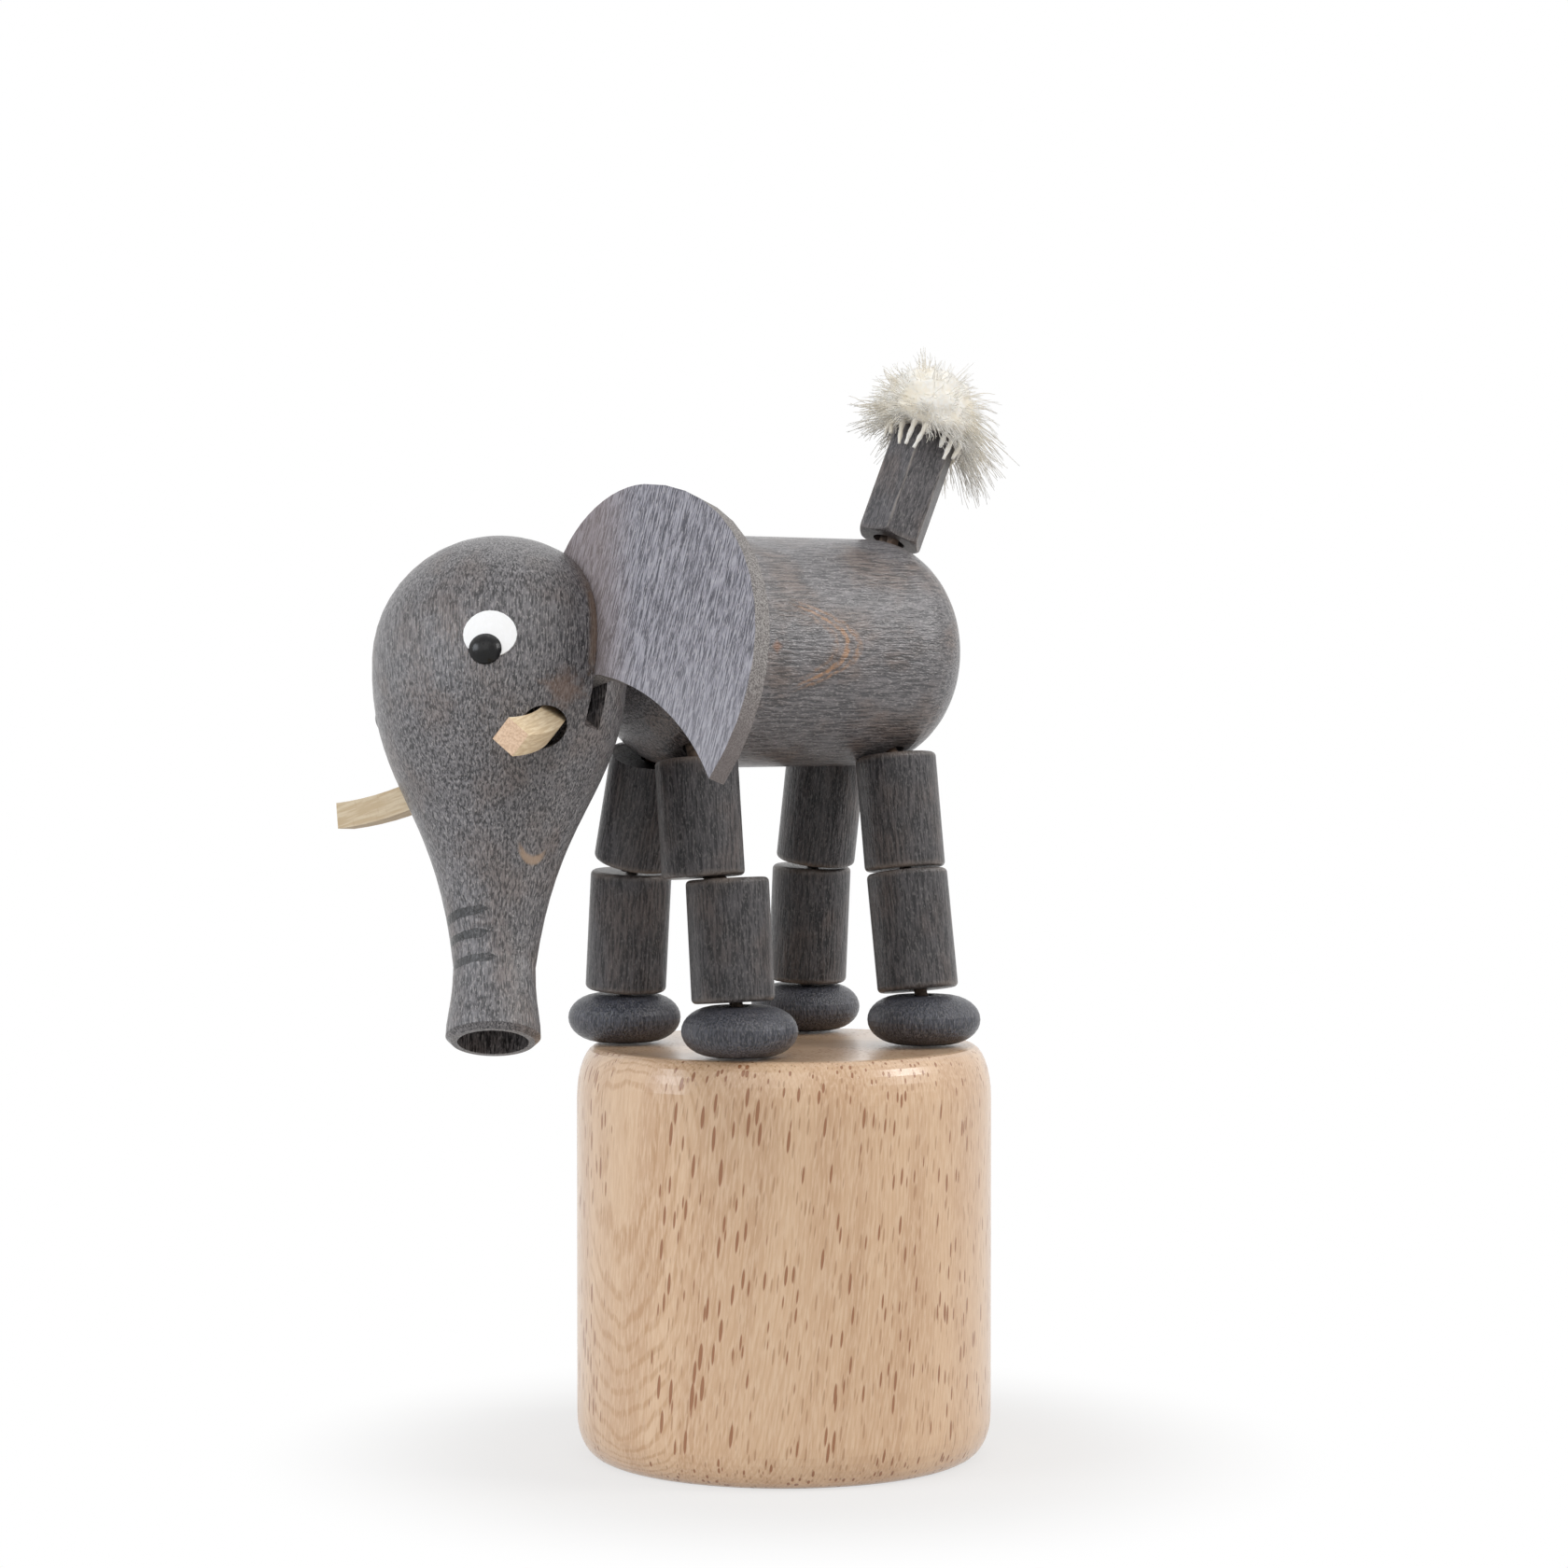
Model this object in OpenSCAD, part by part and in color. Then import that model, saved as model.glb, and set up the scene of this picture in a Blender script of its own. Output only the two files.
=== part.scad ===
// Push puppet: a jointed wooden elephant strung on cords over a sprung drum.
// Millimetres. The origin is the middle of the drum's foot, +Z is up, +X is the way the elephant
// faces and +Y is its left side.

/* [Drum] */
// Diameter of the drum
drum_d = 40; // [39:0.5:60]
// Height of the drum
drum_h = 39.5; // [36:0.5:60]
// Wall round the drum's hollow
drum_wall = 3.4; // [3:0.1:3.8]
// Thickness of the drum's top
drum_top = 6; // [4:0.5:8]
// Rounding of the top edge, inwards
top_round_w = 2; // [0.5:0.1:4]
// Rounding of the top edge, downwards
top_round_h = 5; // [1:0.1:8]
// Rounding of the foot's edge, inwards
foot_round_w = 2.4; // [0.5:0.1:2.6]
// Rounding of the foot's edge, upwards
foot_round_h = 4; // [1:0.1:8]

/* [Button and spring] */
// Height of the push button
button_h = 9; // [7:0.5:11]
// Depth of the button inside the drum's foot at rest
button_recess = 1; // [0.5:0.1:2]
// Gap between the button and the drum's wall
button_gap = 0.3; // [0.2:0.05:0.4]
// Rounding of the button's edges
button_round = 0.8; // [0.3:0.1:1.5]
// Height of the boss that centres the spring
boss_h = 2; // [1:0.1:4]
// Gap between the boss and the spring
boss_gap = 0.25; // [0.1:0.05:0.5]
// Mean diameter of the spring
spring_d = 13; // [10:0.5:14]
// Wire of the spring
wire_d = 1; // [0.6:0.1:1.2]
// Turns of the spring
spring_turns = 7; // [5:1:9]

/* [Stance] */
// Distance between front and rear feet
stance_l = 21.8; // [20:0.1:23.5]
// Distance between left and right feet
stance_w = 19.2; // [17:0.1:20]
// Middle of the feet, forwards of the drum's axis
stance_x = 0.8; // [-1:0.1:1]
// Middle of the feet, left of the drum's axis
stance_y = -0.6; // [-1:0.1:1]

/* [Legs] */
// Diameter of a foot bead
foot_d = 10.9; // [9:0.1:12]
// Thickness of a foot bead
foot_h = 4.7; // [3.5:0.1:6]
// Width of the flats on a foot bead's top and bottom
foot_flat = 4.6; // [3:0.1:6]
// Diameter of a leg bead
leg_d = 7.8; // [6:0.1:8.5]
// Length of a lower leg bead
lower_h = 11.55; // [9:0.05:14]
// Length of an upper leg bead
upper_h = 11.15; // [9:0.05:14]
// Rounding of a leg bead's edges
leg_round = 0.45; // [0.2:0.05:0.8]
// Gap between the drum and a foot
seat_gap = 0.15; // [0.1:0.05:0.5]
// Gap at an ankle, knee or hip
joint_gap = 0.15; // [0.1:0.05:0.6]
// Lean of each lower leg towards the middle, in degrees: front left, front right, rear left, rear right
lower_lean = [5, 5, 9, 4]; // [0:1:12]
// Lean of each upper leg towards the middle, in degrees
upper_lean = [6, 16, 8, 10]; // [0:1:18]
// Step inwards from the foot to the lower leg at each ankle
ankle_in = [1, 0.2, 0.9, 0.3]; // [0:0.1:1.2]
// Step inwards from the lower to the upper leg at each knee
knee_in = [1.4, 0.4, 0.2, 0.8]; // [0:0.1:2]
// Step forwards from the lower to the upper leg at each knee
knee_forward = [1.7, 0, 0, 0.2]; // [0:0.1:2]

/* [Body] */
// Diameter of the body
body_d = 22.2; // [19:0.2:24]
// Length of the body
body_l = 37.8; // [36:0.2:46]
// Length of each rounded end
body_end = 8; // [4:0.2:10]
// Middle of the body, forwards of the middle of the feet
body_x_shift = -0.6; // [-1:0.1:1]
// Middle of the body, left of the middle of the feet
body_y_shift = -0.5; // [-1:0.1:1]
// Depth to which the body sinks between the legs, whose tops are hollowed to suit
hip_sink = 0.85; // [0:0.05:1.2]
// Bore along the body for the cords
body_bore_d = 5; // [4:0.2:7]

/* [Head] */
// Diameter of the head
head_d = 23.4; // [20:0.2:26]
// Length of the trunk below the widest part of the head
trunk_l = 36.8; // [34:0.2:42]
// Height of the trunk's waist above its end
trunk_waist_up = 7; // [4:0.5:8]
// Drop over which the head's side stays full
cheek_drop = 12.2; // [7:0.1:13]
// Drop of the throat below the widest part of the head
throat_drop = 13.7; // [12:0.1:20]
// Diameter that the throat draws in to
throat_d = 11.1; // [9.2:0.1:12]
// Diameter of the trunk at its waist
trunk_d = 7.3; // [6.4:0.1:9]
// Diameter of the trunk's lip
lip_d = 8.4; // [7.8:0.1:10]
// Rounding of the trunk's lip
lip_round = 0.5; // [0.2:0.1:0.6]
// Bore in the trunk's end
trunk_bore_d = 6.3; // [4:0.1:6.8]
// Depth of the bore in the trunk's end
trunk_bore_h = 6; // [2:0.5:10]
// Gap between the body and the head
neck_gap = 0.7; // [0.5:0.1:1.5]
// Height of the head's middle above the body's axis
head_rise = -1.2; // [-2:0.1:1]
// Roll of the head, which swings the trunk to the left
head_roll = 20; // [0:0.5:24]
// Pitch of the head, which swings the trunk forwards
head_pitch = 14.5; // [0:0.5:20]

/* [Ears] */
// Thickness of an ear
ear_t = 1.9; // [1.5:0.1:3]
// Gap between an ear and each side of its slot
ear_gap = 0.08; // [0.03:0.01:0.2]
// Sweep of the left and right ears towards the back, in degrees
ear_sweep = [10.5, 29]; // [5:0.5:35]
// Distance of an ear's front face from the head's axis, forwards
ear_offset = -0.7; // [-2:0.1:1]
// Radius of an ear's top
ear_top_r = 8.9; // [8:0.1:11]
// Middle of the ear's top arc, outwards from the head's side
ear_top_out = 3; // [2:0.1:6]
// Middle of the ear's top arc, above the head's middle
ear_top_up = 4.2; // [1:0.1:5]
// Radius of an ear's outer side
ear_side_r = 18.8; // [16:0.2:26]
// Angle at which the ear's top arc meets its outer side
ear_join = 72.5; // [35:0.5:80]
// Angle of the ear's tip on its outer side
ear_tip_turn = -45; // [-50:0.5:-35]
// Radius of the hollow under an ear
ear_hollow_r = 27; // [22:0.5:36]
// Drop of the ear's lower edge below the head's middle, at the head
ear_root_drop = 4.5; // [3:0.1:6]
// Depth of the saw slot in the head's side
slot_depth = 6.8; // [4:0.1:7]
// Radius of the saw that cuts the slot
saw_r = 22; // [20:0.5:30]
// Height of the saw's middle above the head's middle
saw_up = 5.2; // [3:0.1:6]

/* [Tusks] */
// Width of a tusk's square section
tusk_w = 2.4; // [1.6:0.1:2.8]
// Length of a tusk outside the head
tusk_out = 9.3; // [7:0.1:11]
// Length of a tusk inside its hole
tusk_in = 3.6; // [2:0.1:4.4]
// Radius of a tusk's upward curve
tusk_bend_r = 39; // [30:1:60]
// Heading of the left and right tusks, outwards from straight ahead
tusk_heading = [41, 75]; // [20:0.5:75]
// Droop of the left and right tusks in the head, in degrees
tusk_droop = [33, 6]; // [0:0.5:40]
// Turn of the left and right tusks about their own length
tusk_spin = [46.5, 18]; // [0:0.5:90]
// Drop of a tusk's hole below the head's middle
tusk_drop = 10.3; // [9:0.1:12]
// Angle of a tusk's hole round the head, from straight ahead
tusk_round = 79; // [70:0.5:86]
// Gap between a tusk's corners and its hole
tusk_gap = 0.2; // [0.15:0.05:0.4]
// Depth of a tusk's hole past the tusk's end
tusk_relief = 0.4; // [0.2:0.1:1]

/* [Eyes] */
// Width of an eye's white
eye_w = 4.8; // [3:0.1:6]
// Height of an eye's white
eye_h = 4.4; // [3:0.1:6]
// Diameter of a pupil
pupil_d = 3; // [1.5:0.1:3.5]
// Height of a pupil's dome
pupil_h = 0.8; // [0.4:0.1:1.4]
// Thickness of an eye's white
eye_t = 0.15; // [0.1:0.01:0.3]
// Angle of the left and right eyes round the head, from straight ahead
eye_round = [51, 60]; // [30:1:60]
// Drop of an eye below the head's middle
eye_drop = 2.5; // [-2:0.1:5]
// Drop of a pupil below the middle of its white
pupil_drop = 1.3; // [0:0.1:1.5]
// Turn of a pupil towards the front, in degrees
pupil_forward = 2; // [-5:1:8]

/* [Tail] */
// Width of the tail across its corners
tail_d = 6.8; // [5:0.1:8]
// Length of the tail
tail_h = 11.5; // [8:0.1:14]
// Rounding of the tail's ends
tail_round = 0.6; // [0.2:0.1:1]
// Lean of the tail towards the back
tail_lean = 24; // [10:0.5:30]
// Distance of the tail from the body's rear end
tail_in = 5.1; // [3:0.1:7]
// Gap between the tail and the body's back
tail_gap = 0.6; // [0.2:0.05:0.8]
// Turn of the tail about its own axis
tail_turn = 45; // [0:1:60]

/* [Tuft] */
// Rings of strands in the tuft
tuft_rings = 12; // [4:1:12]
// Strands in each ring of the tuft
tuft_around = 26; // [8:1:30]
// Radius of the knot of cotton that the strands leave
tuft_root_r = 2; // [1.5:0.1:2.4]
// Length of the strands
tuft_l = 7; // [4:0.1:10]
// Length of the shortest strands
tuft_short_l = 5; // [3:0.1:7]
// Length of a strand up to its bend
tuft_bend_l = 3; // [2:0.1:4]
// Droop of the outer strands
tuft_droop = 3.4; // [0:0.1:4]
// Pull of the tuft towards the back
tuft_back = 2.2; // [0:0.1:3]

/* [Cords] */
// Diameter of a cord
cord_d = 1.2; // [0.8:0.1:1.4]
// Gap between a cord and its bore
cord_gap = 0.4; // [0.3:0.05:0.6]
// Gap between two cords that run side by side
pair_gap = 0.12; // [0.05:0.01:0.3]
// Distance of the cords' holes in the button from its middle
button_hole_r = 10.4; // [9.5:0.1:12]
// Diameter of a knot
knot_d = 3; // [2.4:0.1:3.4]

/* [Hidden] */

$fn = 64;
grey_stain = [0.27, 0.27, 0.29];
ear_stain = [0.44, 0.44, 0.48];
beech = [0.85, 0.68, 0.49];
pale_wood = [0.88, 0.77, 0.6];
cotton = [0.94, 0.91, 0.84];
steel = [0.7, 0.7, 0.72];

// Overshoot of a cut past the face that it opens
cut = 1;
bore_d = cord_d + 2*cord_gap;
pair_bore_d = 2*cord_d + 2*cord_gap;
pair_half = (cord_d + pair_gap)/2;
leg_r = leg_d/2;
body_r = body_d/2;
head_r = head_d/2;
leg_side = [1, -1, 1, -1];
leg_end = [1, 1, -1, -1];
// Steps across a piece at which its clearance is measured
samples = [for (k = [-10:10]) k/10];
// Index of a pair's left or right value for side 1 or -1
function which(side) = side > 0 ? 0 : 1;

// Heights in the drum
hollow_r = drum_d/2 - drum_wall;
ceiling_z = drum_h - drum_top;
button_r = hollow_r - button_gap;
button_top_z = button_recess + button_h;
knot_seat_z = button_recess + knot_d + cord_gap;
spring_l = ceiling_z - button_top_z;

// Points of an elliptical arc
function oval(mid, rx, ry, from, to, steps) =
    [for (k = [0:steps]) let (a = from + (to - from)*k/steps) mid + [rx*cos(a), ry*sin(a)]];
// Points of a cubic curve without its first point
function curve(p, q, r, s, steps) =
    [for (k = [1:steps]) let (t = k/steps)
        p*pow(1 - t, 3) + q*3*t*pow(1 - t, 2) + r*3*t*t*(1 - t) + s*t*t*t];

// Legs: way up a leg, way inwards across it, and the middle of each bead's ends
function leg_up(i, lean) = [0, -leg_side[i]*sin(lean), cos(lean)];
function leg_in(i, lean) = [0, -leg_side[i]*cos(lean), -sin(lean)];
function foot_mid(i) =
    [stance_x + leg_end[i]*stance_l/2, stance_y + leg_side[i]*stance_w/2, drum_h + seat_gap + foot_h/2];
foot_rim = (foot_d - foot_flat)/2;
function dome(v) = let (out = max(0, abs(v) - foot_flat/2)/foot_rim) foot_h/2*sqrt(max(0, 1 - out*out));
across = leg_r*samples;
function ankle_rise(i) = joint_gap + max([for (v = across) dome(ankle_in[i] + v) + v*tan(lower_lean[i])]);
function lower_foot(i) = foot_mid(i) + [0, -leg_side[i]*ankle_in[i], ankle_rise(i)];
function lower_head(i) = lower_foot(i) + lower_h*leg_up(i, lower_lean[i]);
function knee_rise(i) = joint_gap + leg_r*sin(abs(upper_lean[i] - lower_lean[i]));
function upper_foot(i) = lower_head(i) + knee_rise(i)*leg_up(i, lower_lean[i])
    + knee_in[i]*leg_in(i, lower_lean[i]) + [knee_forward[i], 0, 0];
function upper_head(i) = upper_foot(i) + upper_h*leg_up(i, upper_lean[i]);

// The body rests in the hollows of the upper legs
body_x = stance_x + body_x_shift;
body_y = stance_y + body_y_shift;
function body_floor(i, v) = let (p = upper_head(i) + v*leg_in(i, upper_lean[i]))
    p[2] + sqrt(pow(body_r, 2) - pow(p[1] - body_y, 2));
body_z = joint_gap - hip_sink + max([for (i = [0:3], v = across) body_floor(i, v)]);
body_mid = [body_x, body_y, body_z];
body_straight = body_l/2 - body_end;
// Radius of the body at a distance from its middle
function body_r_at(x) = body_r*sqrt(1 - pow(max(0, abs(x) - body_straight)/body_end, 2));

// The head hangs in front of the body
neck_x = body_x + body_l/2;
head_mid = [neck_x + neck_gap + head_r, body_y, body_z + head_rise];

// The tail stands on the back
tail_r = tail_d/2;
tail_back = body_l/2 - tail_in;
tail_way = [-sin(tail_lean), 0, cos(tail_lean)];
tail_across = [cos(tail_lean), 0, sin(tail_lean)];
function tail_floor(v) = body_z + body_r_at(v*tail_across[0] - tail_back) - v*tail_across[2];
tail_foot = [body_x - tail_back, body_y,
    tail_gap + max([for (k = samples) tail_floor(k*tail_r)])];
tail_head = tail_foot + tail_h*tail_way;

// Each leg's cord turns inside the body: the front ones to the neck, the rear ones up the tail's bore
tail_hub_x = tail_foot[0] + (tail_foot[2] - body_z)*tan(tail_lean);
function hub(i) = [leg_end[i] > 0 ? upper_head(i)[0] : tail_hub_x, body_y + leg_side[i]*pair_half, body_z];
function hip_way(i) = (hub(i) - upper_head(i))/norm(hub(i) - upper_head(i));

// A tube of round section along a path, as one solid
module tube(path, d, sides = 8) {
    n = len(path);
    way = [for (k = [0:n - 1]) let (w = path[min(k + 1, n - 1)] - path[max(k - 1, 0)]) w/norm(w)];
    side = [for (w = way) let (c = cross(w, abs(w[1]) < 0.9 ? [0, 1, 0] : [1, 0, 0])) c/norm(c)];
    points = [for (k = [0:n - 1], j = [0:sides - 1])
        path[k] + d/2*(cos(360*j/sides)*side[k] + sin(360*j/sides)*cross(way[k], side[k]))];
    wall = [for (k = [0:n - 2], j = [0:sides - 1]) let (m = (j + 1) % sides)
        each [[k*sides + j, (k + 1)*sides + j, (k + 1)*sides + m],
            [k*sides + j, (k + 1)*sides + m, k*sides + m]]];
    first = [for (j = [1:sides - 2]) [0, j, j + 1]];
    last = [for (j = [1:sides - 2]) [(n - 1)*sides, (n - 1)*sides + j + 1, (n - 1)*sides + j]];
    polyhedron(points, concat(wall, first, last));
}

// Turns +Z to a direction, at a place
module along(place, way) {
    translate(place)
        rotate([0, acos(way[2]/norm(way)), atan2(way[1], way[0])])
            children();
}

// A turned dowel with rounded edges, standing on the origin
module dowel(d, h, round) {
    rotate_extrude()
        polygon(concat([[0, 0]],
            oval([d/2 - round, round], round, round, -90, 0, 4),
            oval([d/2 - round, h - round], round, round, 0, 90, 4),
            [[0, h]]));
}

module bore(h, d = bore_d) {
    translate([0, 0, -cut])
        cylinder(d = d, h = h + 2*cut);
}

module drum() {
    color(beech)
        difference() {
            rotate_extrude($fn = 96)
                polygon(concat([[0, 0]],
                    oval([drum_d/2 - foot_round_w, foot_round_h], foot_round_w, foot_round_h, -90, 0, 8),
                    oval([drum_d/2 - top_round_w, drum_h - top_round_h], top_round_w, top_round_h, 0, 90, 8),
                    [[0, drum_h]]));
            translate([0, 0, -cut])
                cylinder(r = hollow_r, h = ceiling_z + cut);
            for (i = [0:3])
                translate([foot_mid(i)[0], foot_mid(i)[1], ceiling_z])
                    bore(drum_top);
        }
}

// Place of a cord's hole in the button, under its foot
function button_hole(i) = let (p = [foot_mid(i)[0], foot_mid(i)[1]]) button_hole_r*p/norm(p);

module push_button() {
    boss_r = (spring_d - wire_d)/2 - boss_gap;
    color(beech)
        difference() {
            union() {
                translate([0, 0, button_recess])
                    dowel(2*button_r, button_h, button_round);
                translate([0, 0, button_top_z])
                    cylinder(r = boss_r, h = boss_h);
            }
            for (i = [0:3])
                translate([button_hole(i)[0], button_hole(i)[1], button_recess]) {
                    bore(button_h);
                    translate([0, 0, -cut])
                        cylinder(d = knot_d + 2*cord_gap, h = knot_seat_z - button_recess + cut);
                }
        }
}

module return_spring() {
    rings_per_turn = 12;
    steps = spring_turns*rings_per_turn;
    rise = spring_l - wire_d;
    path = [for (k = [0:steps]) let (a = 360*k/rings_per_turn)
        [spring_d/2*cos(a), spring_d/2*sin(a), button_top_z + wire_d/2 + rise*k/steps]];
    color(steel)
        tube(path, wire_d, 6);
}

module drum_cords() {
    color(cotton)
        for (i = [0:3]) {
            foot = foot_mid(i);
            hole = button_hole(i);
            tube([[foot[0], foot[1], drum_h], [foot[0], foot[1], ceiling_z],
                [hole[0], hole[1], button_top_z], [hole[0], hole[1], knot_seat_z]], cord_d);
        }
}

module cord_knots() {
    color(cotton)
        for (i = [0:3])
            translate([button_hole(i)[0], button_hole(i)[1], knot_seat_z - knot_d/2 - cord_gap/2])
                sphere(d = knot_d);
}

module foot(i) {
    color(grey_stain)
        translate(foot_mid(i))
            difference() {
                rotate_extrude()
                    polygon(concat([[0, -foot_h/2]],
                        oval([foot_flat/2, 0], foot_rim, foot_h/2, -90, 90, 16),
                        [[0, foot_h/2]]));
                translate([0, 0, -foot_h/2])
                    bore(foot_h);
            }
}

module lower_leg(i) {
    color(grey_stain)
        along(lower_foot(i), leg_up(i, lower_lean[i]))
            difference() {
                dowel(leg_d, lower_h, leg_round);
                bore(lower_h);
            }
}

module upper_leg(i) {
    color(grey_stain)
        difference() {
            along(upper_foot(i), leg_up(i, upper_lean[i]))
                difference() {
                    dowel(leg_d, upper_h, leg_round);
                    bore(upper_h);
                }
            translate(body_mid)
                rotate([0, 90, 0])
                    cylinder(r = body_r + joint_gap, h = body_l, center = true, $fn = 96);
        }
}

module foot_cord(i) {
    color(cotton)
        translate(foot_mid(i) - [0, 0, foot_h/2])
            cylinder(d = cord_d, h = foot_h);
}

module lower_cord(i) {
    color(cotton)
        along(lower_foot(i), leg_up(i, lower_lean[i]))
            cylinder(d = cord_d, h = lower_h);
}

module upper_cord(i) {
    color(cotton)
        along(upper_foot(i), leg_up(i, upper_lean[i]))
            cylinder(d = cord_d, h = upper_h - hip_sink);
}

module body() {
    color(grey_stain)
        difference() {
            translate(body_mid)
                rotate([0, 90, 0])
                    rotate_extrude($fn = 96)
                        polygon(concat([[0, -body_l/2]],
                            oval([0, -body_straight], body_r, body_end, -90, 0, 14),
                            oval([0, body_straight], body_r, body_end, 0, 90, 14)));
            // The cords' bore opens at the neck and stops inside the rear end
            translate([body_x - tail_back, body_y, body_z])
                rotate([0, 90, 0])
                    cylinder(d = body_bore_d, h = body_l);
            for (i = [0:3])
                along(upper_head(i) - cut*hip_way(i), hip_way(i))
                    cylinder(d = bore_d, h = norm(hub(i) - upper_head(i)) + cut);
            along(tail_foot + cut*tail_way, -tail_way)
                cylinder(d = pair_bore_d, h = norm(tail_foot - [tail_hub_x, body_y, body_z]) + cut);
        }
}

module front_cords() {
    color(cotton)
        for (i = [0, 1])
            tube([upper_head(i) + joint_gap*hip_way(i), hub(i), [neck_x, hub(i)[1], body_z]], cord_d);
}

module rear_cords() {
    color(cotton)
        for (i = [2, 3])
            tube([upper_head(i) + joint_gap*hip_way(i), hub(i),
                tail_foot - joint_gap*tail_way + [0, leg_side[i]*pair_half, 0]], cord_d);
}

module head_place() {
    translate(head_mid)
        rotate([head_roll, -head_pitch, 0])
            children();
}

// Half outline of the head and trunk, as radius and height; grow swells it for paint
waist = [trunk_d/2, trunk_waist_up - trunk_l];
lip = [lip_d/2, lip_round - trunk_l];
head_outline = concat(
    oval([0, 0], head_r, head_r, 90, 0, 14),
    curve([head_r, 0], [head_r, -cheek_drop], [throat_d/2, -throat_drop], waist, 18),
    curve(waist, waist - [0, trunk_waist_up/2], lip + [0, trunk_waist_up/4], lip, 5),
    [lip - [lip_round, lip_round]]);
module head_solid(grow = 0) {
    rotate_extrude($fn = 96)
        polygon(concat([for (k = [0:len(head_outline) - 1]) let (p = head_outline[k])
                k == 0 ? [0, p[1] + grow] : p + [grow, grow*p[1]/head_r*(p[1] > 0 ? 1 : 0)]],
            [[0, -trunk_l]]));
}
// Radius of the head at a drop below its middle, read off its outline
function head_r_at(drop) = lookup(drop, [for (p = head_outline) [-p[1], p[0]]]);

// Ear outline in the plane of the ear: outwards from the head's axis, and up
ear_top_mid = [head_r + ear_top_out, ear_top_up];
ear_side_mid = ear_top_mid - (ear_side_r - ear_top_r)*[cos(ear_join), sin(ear_join)];
ear_tip = ear_side_mid + ear_side_r*[cos(ear_tip_turn), sin(ear_tip_turn)];
ear_root = [head_r, -ear_root_drop];
ear_chord = ear_tip - ear_root;
ear_hollow_mid = (ear_tip + ear_root)/2
    + [ear_chord[1], -ear_chord[0]]/norm(ear_chord)*sqrt(pow(ear_hollow_r, 2) - pow(norm(ear_chord)/2, 2));
function hollow_turn(p) = atan2(p[1] - ear_hollow_mid[1], p[0] - ear_hollow_mid[0]);
ear_outline = concat(
    oval(ear_top_mid, ear_top_r, ear_top_r, 180, ear_join, 16),
    oval(ear_side_mid, ear_side_r, ear_side_r, ear_join, ear_tip_turn, 14),
    oval(ear_hollow_mid, ear_hollow_r, ear_hollow_r, hollow_turn(ear_tip), hollow_turn(ear_root), 12),
    [ear_root - [slot_depth, 0], [ear_root[0] - slot_depth, ear_top_up]]);
saw_out = head_r - slot_depth + saw_r;

// Places a flat shape in the plane of one ear: side is 1 for left
module ear_plane(side, t) {
    mirror([0, side < 0 ? 1 : 0, 0])
        rotate([0, 0, 90 + ear_sweep[which(side)]])
            rotate([90, 0, 0])
                translate([0, 0, ear_offset - ear_t/2 - t/2])
                    linear_extrude(t)
                        children();
}

module ear_slot(side) {
    ear_plane(side, ear_t + 2*ear_gap)
        translate([saw_out, saw_up])
            circle(r = saw_r, $fn = 128);
}

// The saw's arc shapes the root of an ear, inside the head
module ear(side) {
    color(ear_stain)
        head_place()
            ear_plane(side, ear_t)
                intersection() {
                    polygon(ear_outline);
                    union() {
                        translate([saw_out, saw_up])
                            circle(r = saw_r - ear_gap, $fn = 128);
                        translate([head_r, -2*ear_side_r])
                            square(4*ear_side_r);
                    }
                }
}

// Origin at the mouth of a tusk's hole, with +X out along the tusk
module tusk_place(side) {
    mouth_r = head_r_at(tusk_drop);
    mirror([0, side < 0 ? 1 : 0, 0])
        translate([mouth_r*cos(tusk_round), mouth_r*sin(tusk_round), -tusk_drop])
            rotate([0, tusk_droop[which(side)], tusk_heading[which(side)]])
                children();
}

// A tusk is a square bar sawn along an arc
module tusk(side) {
    steps = 8;
    function bend(s, up) = let (a = s/tusk_bend_r*180/PI)
        [(tusk_bend_r - up)*sin(a), tusk_bend_r - (tusk_bend_r - up)*cos(a)];
    function station(k) = -tusk_in + (tusk_in + tusk_out)*k/steps;
    color(pale_wood)
        head_place()
            tusk_place(side)
                rotate([90 + tusk_spin[which(side)], 0, 0])
                    linear_extrude(tusk_w, center = true)
                        polygon(concat(
                            [for (k = [0:steps]) bend(station(k), -tusk_w/2)],
                            [for (k = [steps:-1:0]) bend(station(k), tusk_w/2)]));
}

module tusk_hole(side) {
    depth = tusk_in + tusk_relief;
    tusk_place(side)
        rotate([0, 90, 0])
            translate([0, 0, -depth])
                cylinder(d = sqrt(2)*tusk_w + 2*tusk_gap, h = depth + tusk_out);
}

module head() {
    color(grey_stain)
        difference() {
            head_place()
                difference() {
                    head_solid();
                    translate([0, 0, -trunk_l - cut])
                        cylinder(d = trunk_bore_d, h = trunk_bore_h + cut);
                    for (side = [1, -1]) {
                        ear_slot(side);
                        tusk_hole(side);
                    }
                }
            translate([neck_x - cut, body_y, body_z])
                rotate([0, 90, 0])
                    cylinder(d = pair_bore_d, h = head_r + neck_gap + cut);
        }
}

module neck_cord() {
    color(cotton)
        translate([neck_x + joint_gap, body_y, body_z])
            rotate([0, 90, 0])
                cylinder(d = 2*cord_d, h = head_r + neck_gap - 2*joint_gap);
}

// Looks out of the head's axis at an eye, with the eye's middle as the origin
module eye_place(side, drop, turn) {
    mirror([0, side < 0 ? 1 : 0, 0])
        rotate([0, 0, turn])
            translate([head_r_at(drop), 0, -drop])
                rotate([0, 90, 0])
                    children();
}

module eye_blank(side) {
    eye_sides = 24;
    intersection() {
        head_solid(eye_t);
        eye_place(side, eye_drop, eye_round[which(side)])
            translate([0, 0, -head_r/2])
                linear_extrude(head_r)
                    polygon(oval([0, 0], eye_h/2, eye_w/2, 360/eye_sides, 360, eye_sides - 1));
    }
}

module eye_white(side) {
    color("white")
        head_place()
            difference() {
                eye_blank(side);
                head_solid();
            }
}

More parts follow.
